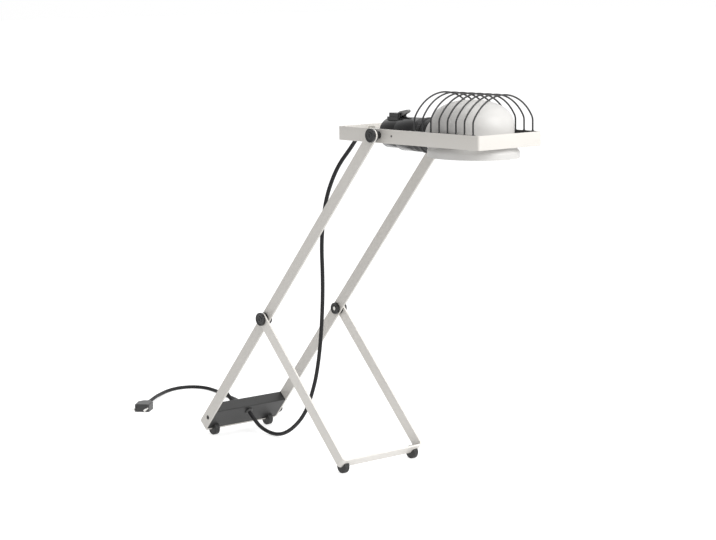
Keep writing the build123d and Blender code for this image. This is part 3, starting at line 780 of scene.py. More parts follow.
def spline_curve(name: str, route: Sequence[Sequence[float]], resolution: int) -> bpy.types.Object:
    """Make an open smooth line whose control points are a route's points.

    Args:
        name: Name of the curve.
        route: Points of the route, in metres.
        resolution: Steps between two control points.

    Returns:
        The curve object.
    """
    data = bpy.data.curves.new(name, "CURVE")
    data.dimensions = "3D"
    data.resolution_u = resolution
    spline = data.splines.new("NURBS")
    spline.points.add(len(route) - 1)
    for control, point in zip(spline.points, route):
        control.co = (*point, 1.0)
    spline.order_u = SPLINE_ORDER
    spline.use_endpoint_u = True
    piece = bpy.data.objects.new(name, data)
    bpy.context.scene.collection.objects.link(piece)
    return piece


def line_points(curve: bpy.types.Object) -> list[Vector]:
    """Read the points of a curve's smooth line, then remove the curve.

    Args:
        curve: Curve object with no bevel.

    Returns:
        Points along it, in order.
    """
    graph = bpy.context.evaluated_depsgraph_get()
    mesh = bpy.data.meshes.new_from_object(curve.evaluated_get(graph))
    points = [vertex.co.copy() for vertex in mesh.vertices]
    bpy.data.meshes.remove(mesh)
    bpy.data.objects.remove(curve)
    return points


# Places on the lamp, from the fixed frame


@dataclass(frozen=True)
class Layout:
    """Pivots and directions of the lamp at rest.

    Attributes:
        mid: Crossing of arms and legs.
        head: Pivot of the head.
        half_strip: Half the width of the strip.
        holder_drop: How far the holder's axis is below the head pivot.
    """

    mid: Vector
    head: Vector
    half_strip: float = 0.009
    holder_drop: float = 0.002

    @property
    def up_arm(self) -> Vector:
        """Direction of the long arms, upwards."""
        return (self.head - self.mid).normalized()

    @property
    def under_arm(self) -> Vector:
        """Direction square to the arms, forwards and down."""
        return Vector((self.up_arm.z, 0, -self.up_arm.x))

    @property
    def holder(self) -> Vector:
        """Point on the holder's axis, straight below the head pivot."""
        return self.head - Vector((0, 0, self.holder_drop))

    def lead_exit(self, level: float, side: int, distance: float) -> Vector:
        """Return the point at a level up the arms and a distance out of the case's wall.

        The side is 1 for the front of the case and -1 for its back.
        """
        return self.mid + self.up_arm * level + self.under_arm * side * (self.half_strip + distance)


def pivot_of(joint: str) -> Vector:
    """Return the pivot point of a joint."""
    return Vector(next(j["pos_m"] for j in frame["joints"] if j["name"] == joint))


# Sub-assemblies


@dataclass
class Leads:
    """The free lead up to the head, and the mains lead with its coil.

    Attributes:
        layout: Places on the lamp.
        radius: Radius of both leads.
        head_exit_level: Level of the head lead's exit on the arms.
        mains_exit_level: Level of the mains lead's exit on the arms.
        grommet_nose: Length of the grommet outside the case.
        relief_nose: Length of the strain relief outside the case.
        head_straight: How far from the case the head lead is still square to it.
        mains_straight: How far from the case the mains lead is still square to it.
        nose_edge: Rounding of the grommet, the strain relief and the grip.
        grip_tip: Distance of the lead grip's tip behind the head pivot.
        coil_centre: Centre of the coil on the table.
        coil_inner: Radius of the coil's inmost turn.
        coil_pitch: Distance between two turns, side by side or on top.
        coil_turns: Turns in each of the two layers.
        coil_start: Angle where the coil starts, in degrees.
        coil_steps: Control points in one turn.
        coil_climb: Share of a turn in which the lead climbs to the upper layer.
        lead_in: Straight length at each end of the coil.
        mains_length: Real length of the mains lead; not used.
        head_length: Real length of the head lead; not used.
        head_steps: Steps between two control points of the head lead.
        mains_steps: Steps between two control points of the mains lead.
        mains_roundness: Blender's resolution of the mains lead's section.
    """

    layout: Layout
    radius: float = 0.003
    head_exit_level: float = -0.2235
    mains_exit_level: float = -0.245
    grommet_nose: float = 0.003
    relief_nose: float = 0.018
    head_straight: float = 0.016
    mains_straight: float = 0.042
    nose_edge: float = 0.0003
    grip_tip: float = 0.097
    coil_centre: Pair = (-0.3954, 0.105)
    coil_inner: float = 0.0234
    coil_pitch: float = 0.0066
    coil_turns: int = 3
    coil_start: float = 220.0
    coil_steps: int = 24
    coil_climb: float = 0.5
    lead_in: float = 0.024
    mains_length: float = 1.8
    head_length: float = 0.66
    head_steps: int = 8
    mains_steps: int = 6
    mains_roundness: int = 6

    def coil_point(self, turn: float) -> Vector:
        """Return the coil's place after a number of clockwise turns."""
        angle = math.radians(self.coil_start - 360 * turn)
        radius = self.coil_inner + self.coil_pitch * abs(turn - self.coil_turns)
        climb = min(max((turn - self.coil_turns) / self.coil_climb + 0.5, 0), 1)
        return Vector(
            (
                self.coil_centre[0] + radius * math.cos(angle),
                self.coil_centre[1] + radius * math.sin(angle),
                self.radius + self.coil_pitch * climb,
            )
        )

    def coil_way(self) -> Vector:
        """Return the coil's level direction after any whole number of turns."""
        angle = math.radians(self.coil_start)
        return Vector((math.sin(angle), -math.cos(angle), 0))

    def head_route(self) -> list[Sequence[float]]:
        """Return the head lead's route from the case to the head."""
        layout = self.layout
        return [
            layout.lead_exit(self.head_exit_level, 1, self.grommet_nose),
            layout.lead_exit(self.head_exit_level, 1, self.head_straight),
            (-0.2544, 0.0040, 0.0095),
            (-0.2344, 0.0070, 0.0036),
            (-0.2124, 0.0075, 0.0042),
            (-0.1904, 0.0070, 0.0120),
            (-0.1684, 0.0060, 0.0260),
            (-0.1504, 0.0050, 0.0415),
            (-0.1364, 0.0045, 0.0590),
            (-0.1244, 0.0040, 0.0820),
            (-0.1104, 0.0030, 0.1140),
            (-0.0984, 0.0020, 0.1650),
            (-0.0910, 0.0010, 0.2250),
            (-0.0890, 0.0005, 0.2700),
            (-0.0904, 0.0000, 0.3160),
            (-0.0864, 0.0000, 0.3520),
            (-0.0784, 0.0000, 0.3880),
            (-0.0664, 0.0020, 0.4180),
            (-0.0524, 0.0060, 0.4440),
            (-0.0354, 0.0125, 0.4660),
            (-0.0134, 0.0100, 0.4865),
            (-0.0024, 0.0000, layout.holder.z),
            layout.holder - Vector((self.grip_tip, 0, 0)),
        ]

    def mains_route(self) -> list[Sequence[float]]:
        """Return the mains lead's route from the case, round its coil, to the plug."""
        layout = self.layout
        turns = 2 * self.coil_turns
        steps = turns * self.coil_steps
        coil = [self.coil_point(step / self.coil_steps) for step in range(steps + 1)]
        way = self.coil_way()
        return [
            layout.lead_exit(self.mains_exit_level, -1, self.relief_nose),
            layout.lead_exit(self.mains_exit_level, -1, self.mains_straight),
            (-0.3614, 0.0040, 0.0565),
            (-0.3764, 0.0120, 0.0440),
            (-0.3874, 0.0240, 0.0250),
            (-0.3984, 0.0400, 0.0080),
            coil[0] - way * self.lead_in,
            *coil,
            coil[-1] + way * self.lead_in,
            (-0.4624, 0.1140, 0.0065),
            (-0.4854, 0.1260, 0.0030),
            (-0.5254, 0.1350, 0.0030),
            (-0.5684, 0.1455, 0.0030),
            (-0.6024, 0.1480, 0.0030),
            (-0.6254, 0.1350, 0.0030),
            (-0.6324, 0.1100, 0.0030),
            (-0.6244, 0.0830, 0.0030),
            (-0.6064, 0.0570, 0.0040),
            (-0.5814, 0.0270, 0.0065),
            (-0.5544, -0.0039, 0.0065),
        ]

    def build(self) -> None:
        self.build_head_lead()
        self.build_mains_lead()
        dress_nodes(BLACK_PLASTIC, "lead_grommet", "mains_relief", "lead_grip", "plug_body")
        dress_nodes(PIN_METAL, "plug_pins")
        ease_edges(self.nose_edge, "mains_relief", "lead_grommet", "lead_grip")

    def build_head_lead(self) -> None:
        """Make the head lead as a tube along its route."""
        route = self.head_route()
        line = line_points(spline_curve("head_lead_line", route, self.head_steps))
        tube = Shape()
        tube.follow(line, [self.radius] * len(line), Section.LEAD)
        lead = tube.piece("lead_to_head")
        dress(lead, JACKET)
        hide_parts("head_lead")
        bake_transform(lead)
        log.info("lead_to_head follows %d points", len(line))

    def build_mains_lead(self) -> None:
        """Make the mains lead as one round cord."""
        route = self.mains_route()
        cord = spline_curve("mains_cord", route, self.mains_steps)
        cord.data.bevel_depth = self.radius
        cord.data.bevel_resolution = self.mains_roundness
        cord.data.use_fill_caps = True
        place_piece(cord, JACKET, Body.STAND, "mains_lead_rear", "mains_coil", "mains_lead")
        log.info("mains_cord has %d control points", len(route))


@dataclass
class Stand:
    """Long arms, front legs, feet and ballast case, all fixed nodes.

    Attributes:
        strip_edge: Rounding along the strips' edges.
        case_edge: Rounding along the case's edges.
        foot_edge: Rounding of the feet's edges.
    """

    strip_edge: float = 0.00045
    case_edge: float = 0.001
    foot_edge: float = 0.0012

    def dress(self) -> None:
        """Finish the stand's nodes."""
        dress_nodes(ENAMEL, "arm_frame")
        # The legs' lighter enamel is painted light, not a paint of their own.
        dress_nodes(LEG_ENAMEL_PAINTED_LIGHT, "leg_frame")
        ease_edges(self.strip_edge, "arm_frame", "leg_frame")
        dress_nodes(RUBBER, "rear_feet", "front_feet")
        ease_edges(self.foot_edge, "rear_feet", "front_feet")
        dress_nodes(BLACK_PAINT, "case_cover", "case_base")
        ease_edges(self.case_edge, "case_cover", "case_base")
        dress_nodes(CAST_IRON, "ballast_weights")
        dress_nodes(TERMINAL_PLASTIC, "terminal_block")
        dress_nodes(SCREW_STEEL, "case_screws")


@dataclass
class Pivots:
    """Clamp knobs, spacers, bolts and nuts at the crossing and at the head.

    Attributes:
        knob_edge: Rounding of the knobs' edges.
    """

    knob_edge: float = 0.00035

    def dress(self) -> None:
        """Finish the pivots' nodes."""
        knobs = ("mid_knob_left", "mid_knob_right", "head_knob_left", "head_knob_right")
        dress_nodes(KNOB_PLASTIC, *knobs, "mid_spacers", "mid_inner_knobs")
        ease_edges(self.knob_edge, *knobs, "mid_inner_knobs")
        dress_nodes(ZINC, "mid_bolts", "head_bolts", "head_nuts")


@dataclass
class WireGuard:
    """Hoops of round wire that stand on two flat rails inside the head frame.

    Attributes:
        layout: Places on the lamp.
        hoops: Number of hoops.
        first: Distance of the rear hoop ahead of the head pivot.
        pitch: Distance between two hoops.
        wire: Radius of the wire.
        arc: Radius of a hoop's top.
        arc_drop: How far the top arc's centre is below the pivot.
        bend: Radius of the bends beside the top.
        rail_y: Distance of each rail's middle from the lamp's middle.
        rail_top: Height of the rails' top above the pivot.
        weld: Radius of the weld at a hoop's foot.
        weld_height: Height of that weld.
        weld_along: Shares of that height where its width is given.
        weld_widths: Shares of its radius there, but for the last, where it has the wire's.
        leg_shares: Shares of a hoop's straight leg where it has points.
        bend_steps: Points in each bend.
        arc_steps: Points in each half of the top.
        rail_edge: Rounding of the rails' edges.
    """

    layout: Layout
    hoops: int = 8
    first: float = 0.072
    pitch: float = 0.0167
    wire: float = 0.0012
    arc: float = 0.0635
    arc_drop: float = 0.0033
    bend: float = 0.014
    rail_y: float = 0.0563
    rail_top: float = 0.0086
    weld: float = 0.0019
    weld_height: float = 0.0014
    weld_along: tuple[float, ...] = (0, 0.3, 0.65, 1)
    weld_widths: tuple[float, ...] = (1, 0.94, 0.8)
    leg_shares: tuple[float, ...] = (0, 0.04, 0.5)
    bend_steps: int = 8
    arc_steps: int = 24
    rail_edge: float = 0.0003

    def half_hoop(self) -> list[Pair]:
        """Return one side of a hoop, from its foot to just before its top."""
        bend_y = self.rail_y - self.bend
        rise = math.sqrt((self.arc - self.bend) ** 2 - bend_y**2)
        knee = rise - self.arc_drop
        lean = math.atan2(rise, bend_y)
        leg = knee - self.rail_top
        side = [(self.rail_y, self.rail_top + share * leg) for share in self.leg_shares]
        for step in range(self.bend_steps + 1):
            angle = lean * step / self.bend_steps
            side.append((bend_y + self.bend * math.cos(angle), knee + self.bend * math.sin(angle)))
        for step in range(1, self.arc_steps):
            angle = lean + (math.pi / 2 - lean) * step / self.arc_steps
            side.append((self.arc * math.cos(angle), self.arc * math.sin(angle) - self.arc_drop))
        return side

    def build(self) -> None:
        """Make the hoops with their welds, and finish the rails."""
        side = self.half_hoop()
        top = [(0.0, self.arc - self.arc_drop)]
        outline = [(-y, z) for y, z in side] + top + [(y, z) for y, z in reversed(side)]
        tubes = Shape()
        for place in range(self.hoops):
            x = self.layout.head.x + self.first + place * self.pitch
            line = [Vector((x, y, self.layout.head.z + z)) for y, z in outline]
            tubes.follow(line, [self.wire] * len(line), Section.WIRE)
            for foot, above in ((line[0], line[1]), (line[-1], line[-2])):
                up = (above - foot).normalized()
                bead = [foot + up * self.weld_height * share for share in self.weld_along]
                radii = [share * self.weld for share in self.weld_widths] + [self.wire]
                tubes.follow(bead, radii, Section.WIRE)
        place_piece(tubes.piece("hoop_wires"), WIRE_PAINT, Body.HEAD, "guard_hoops")
        dress_nodes(WIRE_PAINT, "guard_rails")
        ease_edges(self.rail_edge, "guard_rails")


@dataclass
class LampHolder:
    """Lamp holder on its threaded tube, with its switch and ring nut.

    Attributes:
        layout: Places on the lamp.
        skirt_rear: Rear end of the skirt, ahead of the head pivot.
        skirt_front: Front end of the skirt, inside the reflector's neck.
        skirt_radius: Outer radius of the skirt.
        skirt_wall: Wall of the skirt.
        seat: Radius of the hole in the skirt's rear end.
        edge: Rounding of the skirt's edges.
        cap_edge: Rounding of the cap's edges.
        thread_start: Where the skirt's thread starts.
        thread_pitch: Pitch of the thread.
        thread_turns: Number of its turns.
        thread_depth: Depth of the thread.
        thread_steps: Points in one turn of its profile.
        ring_rear: Rear face of the ring nut.
        ring_front: Front face of the ring nut.
        ring_radius: Radius over the ring's ribs.
        rib_count: Ribs round the ring.
        rib_depth: Depth of the grooves between them.
        rib_wave: Share of that depth at each corner of one rib.
        ring_play: Room between the ring's bore and the skirt.
        lever_root: Place and radius of the lever's root, along and above the head pivot.
        lever_tip: Place and radius of its tip.
        lever_width: Width of the lever.
        lever_edge: Rounding of its edges.
        screw_place: Place of the earth screw, along and above the head pivot.
        screw_reach: Distance of its two ends from the lamp's middle.
        screw_radius: Its radius.
        screw_chamfer: Bevel of its end.
    """

    layout: Layout
    skirt_rear: float = -0.010
    skirt_front: float = 0.0605
    skirt_radius: float = 0.0242
    skirt_wall: float = 0.0016
    seat: float = 0.014
    edge: float = 0.0008
    cap_edge: float = 0.0008
    thread_start: float = 0.0275
    thread_pitch: float = 0.0042
    thread_turns: int = 7
    thread_depth: float = 0.0013
    thread_steps: int = 10
    ring_rear: float = 0.038
    ring_front: float = 0.044
    ring_radius: float = 0.0256
    rib_count: int = 60
    rib_depth: float = 0.0006
    rib_wave: tuple[float, ...] = (0.0, 0.0, 0.4, 1.0, 1.0, 0.4)
    ring_play: float = 0.00005
    lever_root: tuple[float, float, float] = (-0.0185, 0.0253, 0.0042)
    lever_tip: tuple[float, float, float] = (-0.0035, 0.0303, 0.0022)
    lever_width: float = 0.006
    lever_edge: float = 0.0006
    screw_place: Pair = (0.0272, -0.0005)
    screw_reach: Pair = (0.049, 0.0599)
    screw_radius: float = 0.0015
    screw_chamfer: float = 0.0002

    def build(self) -> None:
        """Make the skirt, the ring nut and the lever, and finish the rest."""
        self.build_skirt()
        self.build_ring()
        self.build_lever()
        self.build_screw()
        self.dress()

    def build_skirt(self) -> None:
        """Turn the skirt with its rounded thread."""
        edge, outer, steps = self.edge, self.skirt_radius, self.thread_steps
        inner = outer - self.skirt_wall
        corner = CORNER_SHARE * edge
        profile = [
            (self.skirt_rear, self.seat),
            (self.skirt_rear, outer - edge),
            (self.skirt_rear + corner, outer - corner),
            (self.skirt_rear + edge, outer),
            (self.thread_start, outer),
        ]
        for step in range(1, self.thread_turns * steps + 1):
            drop = self.thread_depth * (1 - math.cos(math.tau * step / steps)) / 2
            profile.append((self.thread_start + self.thread_pitch * step / steps, outer - drop))
        profile += [
            (self.skirt_front - corner, outer - corner),
            (self.skirt_front, outer - edge),
            (self.skirt_front, inner),
            (self.skirt_rear + self.skirt_wall, inner),
            (self.skirt_rear + self.skirt_wall, self.seat),
        ]
        skirt = turned("threaded_skirt", self.layout.holder, FORWARD, profile, Section.LARGE)
        place_piece(skirt, HOLDER_PLASTIC, Body.HEAD, "holder_skirt")

    def build_ring(self) -> None:
        """Form the ring nut with ribs for the fingers."""
        chamfer = self.rib_depth
        bore = self.skirt_radius + self.ring_play
        wave = self.rib_wave
        sides = self.rib_count * len(wave)
        first, second = across(FORWARD)
        rows = []
        for along, low, depth in (
            (self.ring_rear, bore, 0.0),
            (self.ring_rear, self.ring_radius - chamfer, 0.0),
            (self.ring_rear + chamfer, self.ring_radius, self.rib_depth),
            (self.ring_front - chamfer, self.ring_radius, self.rib_depth),
            (self.ring_front, self.ring_radius - chamfer, 0.0),
            (self.ring_front, bore, 0.0),
        ):
            centre = self.layout.holder + FORWARD * along
            row = circle(centre, first, second, 1.0, sides)
            rows.append(
                [
                    centre + (corner - centre) * (low - depth * wave[side % len(wave)])
                    for side, corner in enumerate(row)
                ]
            )
        shape = Shape()
        shape.wrap(rows)
        place_piece(shape.piece("ribbed_ring"), HOLDER_PLASTIC, Body.HEAD, "shade_ring")

    def build_lever(self) -> None:
        """Form the lever, thick at its root and thin at its tip."""
        outline = []
        root_x, root_z, root = self.lever_root
        tip_x, tip_z, tip = self.lever_tip
        lean = math.atan2(tip_z - root_z, tip_x - root_x)
        open_angle = math.acos((root - tip) / math.hypot(tip_x - root_x, tip_z - root_z))
        steps = 12
        for x, z, radius, start, sweep in (
            (tip_x, tip_z, tip, lean - open_angle, 2 * open_angle),
            (root_x, root_z, root, lean + open_angle, math.tau - 2 * open_angle),
        ):
            for step in range(steps + 1):
                angle = start + sweep * step / steps
                across_lever = Vector((math.cos(angle), 0, math.sin(angle))) * radius
                outline.append(self.layout.head + Vector((x, 0, z)) + across_lever)
        half = Vector((0, self.lever_width / 2, 0))
        shape = Shape()
        shape.slab([corner - half for corner in outline], 2 * half)
        lever = shape.piece("lever_handle")
        add_rounding(lever, self.lever_edge)
        place_piece(lever, LEVER_METAL, Body.SWITCH, "switch_lever")

    def build_screw(self) -> None:
        """Turn the earth screw, whose end shows in the strip beside the knob."""
        inner, outer = self.screw_reach
        radius, chamfer = self.screw_radius, self.screw_chamfer
        profile = [
            (inner, 0.0),
            (inner, radius),
            (outer - chamfer, radius),
            (outer, radius - chamfer),
            (outer, 0.0),
        ]
        along, above = self.screw_place
        place = self.layout.head + Vector((along, 0, above))
        screw = turned("earth_screw_end", place, -SIDEWAYS, profile, Section.SMALL)
        place_piece(screw, SCREW_STEEL, Body.HEAD, "earth_screw")

    def dress(self) -> None:
        """Finish the holder's other nodes."""
        dress_nodes(HOLDER_PLASTIC, "holder_cap")
        ease_edges(self.cap_edge, "holder_cap")
        dress_nodes(ZINC, "holder_tube", "tube_nuts", "switch_pin", "earth_tag")
        dress_nodes(PORCELAIN, "holder_insulator")
        dress_nodes(BRASS, "holder_shell", "holder_contact")
        dress_nodes(CAP_METAL, "bulb_cap")
        dress_nodes(OPAL_GLASS, "bulb_glass")


@dataclass
class HeadShell:
    """Strip that carries the head, its bushes and the reflector.

    Attributes:
        layout: Places on the lamp.
        rear: Rear face of the strip's ring, ahead of the head pivot.
        front: Front face of the ring.
        half_width: Half the ring's width.
        low: Lower edge of the strip, above the head pivot.
        high: Upper edge of the strip.
        wall: Thickness of the strip.
        corner: Outer radius of the ring's corners.
        edge: Rounding along the strip's edges.
        flange_outer: Distance of a bush's flange from the lamp's middle, at the arm.
        flange_depth: Thickness of the flange.
        flange_radius: Radius of the flange.
        stem_radius: Radius of the bush's stem.
        bush_bore: Radius of its bore.
        bowl_middle: Middle of the bowl, ahead of the head pivot.
        bowl_width: Width of the bowl as a share of its length.
        rear_stretch: How much longer the waist's rear half is than its front half.
        rim: Half the length of the bowl's rim.
        waist: Half the length of the bowl above its rim.
        rim_low: Lower edge of the rim, above the head pivot.
        rim_high: Where the rim starts to turn in.
        waist_low: Where the waist starts.
        waist_high: Where the dome starts.
        dome: Heights on the dome, each with the share of the waist's length that it has there.
        top: Height of the dome's top.
        skin: Thickness of the bowl.
        neck_rear: Rear end of the neck.
        neck_bore: Radius of the neck's bore.
        rim_steps: Points between rim and waist.
        dome_steps: Points in each stretch of the dome.
    """

    layout: Layout
    rear: float = -0.088
    front: float = 0.203
    half_width: float = 0.0595
    low: float = -0.0113
    high: float = 0.0085
    wall: float = 0.002
    corner: float = 0.0032
    edge: float = 0.0004
    flange_outer: float = 0.069
    flange_depth: float = 0.0026
    flange_radius: float = 0.0093
    stem_radius: float = 0.0056
    bush_bore: float = 0.00305
    bowl_middle: float = 0.130
    bowl_width: float = 0.82
    rear_stretch: float = 1.08
    rim: float = 0.070
    waist: float = 0.062
    rim_low: float = -0.027
    rim_high: float = -0.020
    waist_low: float = -0.009
    waist_high: float = 0.015
    dome: Profile = ((0.031, 0.93), (0.041, 0.76), (0.048, 0.48))
    top: float = 0.0515
    skin: float = 0.0012
    neck_rear: float = 0.0595
    neck_bore: float = 0.0248
    rim_steps: int = 12
    dome_steps: int = 8

    def build(self) -> None:
        """Make the strip, its bushes and the reflector."""
        self.build_strip()
        self.build_bushes()
        self.build_bowl()

    def strip_loop(self, inward: float, height: float) -> list[Vector]:
        """Return one line round the strip.

        Args:
            inward: Distance inside the outer face.
            height: Height above the head pivot.

        Returns:
            Points of the closed line.
        """
        steps = 8
        radius = self.corner - inward
        loop = []
        for quarter, (x, y) in enumerate(
            (
                (self.front - self.corner, self.half_width - self.corner),
                (self.rear + self.corner, self.half_width - self.corner),
                (self.rear + self.corner, self.corner - self.half_width),
                (self.front - self.corner, self.corner - self.half_width),
            )
        ):
            for step in range(steps + 1):
                angle = math.pi / 2 * (quarter + step / steps)
                spoke = Vector((math.cos(angle), math.sin(angle), 0)) * radius
                loop.append(self.layout.head + Vector((x, y, height)) + spoke)
        return loop

    def build_strip(self) -> None:
        """Bend the strip into its ring, with rounded edges."""
        steps = 4
        rows = []
        for inward, height, start in (
            (self.edge, self.high - self.edge, 0.0),
            (self.wall - self.edge, self.high - self.edge, 0.25),
            (self.wall - self.edge, self.low + self.edge, 0.5),
            (self.edge, self.low + self.edge, 0.75),
        ):
            for step in range(steps + 1):
                angle = math.tau * (start + 0.25 * step / steps)
                out, up = math.cos(angle) * self.edge, math.sin(angle) * self.edge
                rows.append(self.strip_loop(inward - out, height + up))
        shape = Shape()
        shape.wrap(rows)
        place_piece(shape.piece("head_strip"), ENAMEL, Body.HEAD, "head_frame")

    def build_bushes(self) -> None:
        """Turn the bush on each side of the head."""
        flange = self.flange_outer - self.flange_depth
        lip = self.edge
        profile = [
            (self.half_width, self.bush_bore),
            (self.half_width, self.stem_radius),
            (flange, self.stem_radius),
            (flange, self.flange_radius - lip),
            (flange + lip, self.flange_radius),
            (self.flange_outer - lip, self.flange_radius),
            (self.flange_outer, self.flange_radius - lip),
            (self.flange_outer, self.bush_bore),
        ]
        shape = Shape()
        for side in (1, -1):
            shape.turn(self.layout.head, Vector((0, side, 0)), profile, Section.SMALL)
        place_piece(shape.piece("head_bushes"), KNOB_PLASTIC, Body.STAND, "head_spacers")

    def bowl_solid(self, skin: float, low: float) -> bpy.types.Object:
        """Turn the bowl as a solid, a skin smaller than its outside.

        Args:
            skin: Distance inside the outer face.
            low: Height of its flat bottom.

        Returns:
            The solid.
        """
        rim, waist, top = self.rim - skin, self.waist - skin, self.top - skin
        outwards, inwards = (1, 0), (0, -1)
        flare = ((self.rim_high, rim), (self.waist_low, waist))
        dome = [(height - skin, share * waist) for height, share in self.dome]
        dome = [(self.waist_high, waist), *dome, (top, 0.0)]
        line = [(low, 0.0), (low, rim)]
        line += smooth_line(flare, outwards, outwards, self.rim_steps)
        line += smooth_line(dome, outwards, inwards, self.dome_steps)
        shape = Shape()
        middle = self.layout.head + FORWARD * self.bowl_middle
        shape.turn(middle, UPWARDS, line, Section.LARGE)
        for corner in shape.corners:
            corner.y *= self.bowl_width
            if corner.x < middle.x:
                above_rim = (corner.z - middle.z - self.rim_high) / (self.waist_low - self.rim_high)
                stretch = 1 + (self.rear_stretch - 1) * min(max(above_rim, 0), 1)
                corner.x = middle.x + (corner.x - middle.x) * stretch
        return shape.piece("bowl_solid")

    def neck_solid(self, rear: float, radius: float) -> bpy.types.Object:
        """Return a plug along the holder's axis, from its rear end to the bowl's middle."""
        ends = ((rear, 0.0), (rear, radius), (self.bowl_middle, radius), (self.bowl_middle, 0.0))
        return turned("neck_solid", self.layout.holder, FORWARD, ends, Section.LARGE)

    def build_bowl(self) -> None:
        """Make the reflector as a skin with its neck."""
        margin = 0.004
        bowl = self.bowl_solid(0, self.rim_low)
        combine(bowl, self.neck_solid(self.neck_rear, self.neck_bore + self.skin), Join.ADD)
        combine(bowl, self.bowl_solid(self.skin, self.rim_low - margin), Join.CUT)
        combine(bowl, self.neck_solid(self.neck_rear - margin, self.neck_bore), Join.CUT)
        bowl.name = "reflector_bowl"
        # The bowl's grey enamel is painted shade.
        place_piece(bowl, BOWL_ENAMEL_PAINTED_SHADE, Body.HEAD, "reflector")


# Studio and camera


@dataclass
class Softbox:
    """Square area light aimed at a point.

    Attributes:
        name: Name of the light.
        place: Where it hangs, in metres.
        aim: Point that it faces.
        size: Side of the square.
        power: Power in watts.
    """

    name: str
    place: Point
    aim: Point
    size: float
    power: float

    def build(self) -> None:
        """Hang the light."""
        data = bpy.data.lights.new(self.name, "AREA")
        data.shape = "SQUARE"
        data.size = self.size
        data.energy = self.power
        light = bpy.data.objects.new(self.name, data)
        light.location = self.place
        light.rotation_mode = "QUATERNION"
        light.rotation_quaternion = (Vector(self.aim) - Vector(self.place)).to_track_quat("-Z", "Y")
        bpy.context.scene.collection.objects.link(light)


SOFTBOXES = (
    Softbox("key", place=(2.4, 0.1, 1.9), aim=(-0.05, 0, 0.25), size=1.8, power=48.0),
    Softbox("top", place=(-0.4, 0.6, 2.6), aim=(0, 0, 0.3), size=2.2, power=16.0),
)


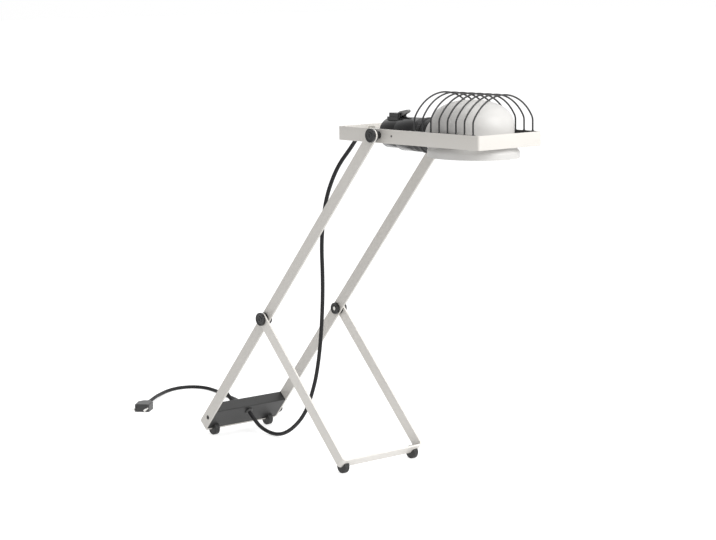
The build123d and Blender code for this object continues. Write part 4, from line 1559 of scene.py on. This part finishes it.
@dataclass
class Studio:
    """White floor, a pale surround that is darker on one side, and softboxes.

    Attributes:
        floor_size: Side of the floor.
        floor_depth: Thickness of the floor.
        floor_colour: Colour of the floor.
        floor_uneven: Share by which that colour strays to each side.
        floor_patch: Size of one patch, in metres.
        floor_roughness: Roughness of the floor.
        floor_glow: Light that the floor shows of its own, so that it stays white far away.
        floor_bounce: Light that it throws on the lamp of its own.
        surround: Brightness of the surround's bright side.
        dim_side: Direction of the surround's dim side.
        dim_share: Brightness there, as a share of the bright side.
        dim_reach: Match with the dim side's direction from which the surround is dimmest.
    """

    floor_size: float = 60.0
    floor_depth: float = 0.01
    floor_colour: Colour = (0.6, 0.6, 0.6)
    floor_uneven: float = 0.005
    floor_patch: float = 0.4
    floor_roughness: float = 0.8
    floor_glow: float = 0.62
    floor_bounce: float = 0.24
    surround: float = 1.0
    dim_side: Point = (-0.55, -0.83, 0.05)
    dim_share: float = 0.38
    dim_reach: float = 0.9

    def build(self) -> None:
        """Set up the whole studio."""
        self.build_floor()
        self.build_surround()
        for box in SOFTBOXES:
            box.build()

    def build_floor(self) -> None:
        """Lay the floor under the feet."""
        half = self.floor_size / 2
        corners = [Vector((x * half, y * half, 0)) for x, y in ((-1, -1), (1, -1), (1, 1), (-1, 1))]
        shape = Shape()
        shape.slab(corners, Vector((0, 0, -self.floor_depth)))
        floor = shape.piece("floor")
        sheet = NodeSheet("floor_paper")
        place = sheet.add("TexCoord").outputs["Object"]
        tone = sheet.noise(place, self.floor_patch, GRAIN_DETAIL)
        light = shade(self.floor_colour, 1 + self.floor_uneven)
        dark = shade(self.floor_colour, 1 - self.floor_uneven)
        sheet.fill(sheet.shader.inputs["Base Color"], sheet.mixed(tone, dark, light))
        sheet.fill(sheet.shader.inputs["Roughness"], self.floor_roughness)
        sheet.fill(sheet.shader.inputs["Specular IOR Level"], 0.0)
        sheet.fill(sheet.shader.inputs["Emission Color"], (1, 1, 1, 1))
        diffuse = sheet.add("LightPath").outputs["Is Diffuse Ray"]
        glow = sheet.add("MapRange", Value=diffuse, To_Min=self.floor_glow, To_Max=self.floor_bounce)
        sheet.fill(sheet.shader.inputs["Emission Strength"], glow.outputs["Result"])
        floor.data.materials.append(sheet.material)

    def build_surround(self) -> None:
        """Light the scene from all round, less from the dim side."""
        world = bpy.data.worlds.new("surround")
        bpy.context.scene.world = world
        world.use_nodes = True
        tree = world.node_tree
        way = tree.nodes.new("ShaderNodeTexCoord")
        facing = tree.nodes.new("ShaderNodeVectorMath")
        facing.operation = "DOT_PRODUCT"
        facing.inputs[1].default_value = Vector(self.dim_side).normalized()
        level = tree.nodes.new("ShaderNodeMapRange")
        level.interpolation_type = "SMOOTHSTEP"
        level.inputs["From Min"].default_value = 0.0
        level.inputs["From Max"].default_value = self.dim_reach
        level.inputs["To Min"].default_value = self.surround
        level.inputs["To Max"].default_value = self.surround * self.dim_share
        tree.links.new(way.outputs["Generated"], facing.inputs[0])
        tree.links.new(facing.outputs["Value"], level.inputs["Value"])
        tree.links.new(level.outputs["Result"], tree.nodes["Background"].inputs["Strength"])
        tree.nodes["Background"].inputs["Color"].default_value = (1, 1, 1, 1)


@dataclass
class PhotoCamera:
    """Camera at the photograph's viewpoint.

    Attributes:
        place: Where it stands, in metres.
        yaw: How far it looks to the left of +Y, in degrees.
        pitch: How far it looks down, in degrees.
        roll: How far it leans, in degrees.
        sensor: Width of the sensor, in millimetres.
        lens: Focal length on that sensor, in millimetres.
        clip: Nearest and farthest distance that shows, in metres.
    """

    place: Point = (2.26966, -1.93086, 0.71872)
    yaw: float = 49.683
    pitch: float = 8.197
    roll: float = -0.675
    sensor: float = 36.0
    lens: float = 102.37
    clip: Pair = (0.05, 200.0)

    def build(self) -> None:
        """Make the camera and set it as the scene's."""
        yaw, pitch, roll = (math.radians(a) for a in (self.yaw, self.pitch, self.roll))
        ahead = Vector(
            (-math.sin(yaw) * math.cos(pitch), math.cos(yaw) * math.cos(pitch), -math.sin(pitch))
        )
        level = Vector((math.cos(yaw), math.sin(yaw), 0))
        upright = level.cross(ahead)
        right = level * math.cos(roll) + upright * math.sin(roll)
        up = upright * math.cos(roll) - level * math.sin(roll)
        data = bpy.data.cameras.new("camera")
        data.sensor_fit = "HORIZONTAL"
        data.sensor_width = self.sensor
        data.lens = self.lens
        data.clip_start, data.clip_end = self.clip
        camera = bpy.data.objects.new("camera", data)
        turn = Matrix((right, up, -ahead)).transposed()
        camera.matrix_world = Matrix.Translation(self.place) @ turn.to_4x4()
        bpy.context.scene.collection.objects.link(camera)
        bpy.context.scene.camera = camera


def main() -> None:
    """Build the camera, the leads, every sub-assembly and the studio."""
    logging.basicConfig(level=logging.INFO, format="%(name)s: %(message)s")
    bpy.context.scene.view_settings.view_transform = "Standard"
    layout = Layout(mid=pivot_of("leg_fold"), head=pivot_of("head_tilt"))
    PhotoCamera().build()
    Leads(layout).build()
    Stand().dress()
    Pivots().dress()
    HeadShell(layout).build()
    WireGuard(layout).build()
    LampHolder(layout).build()
    Studio().build()


if __name__ == "__main__":
    main()
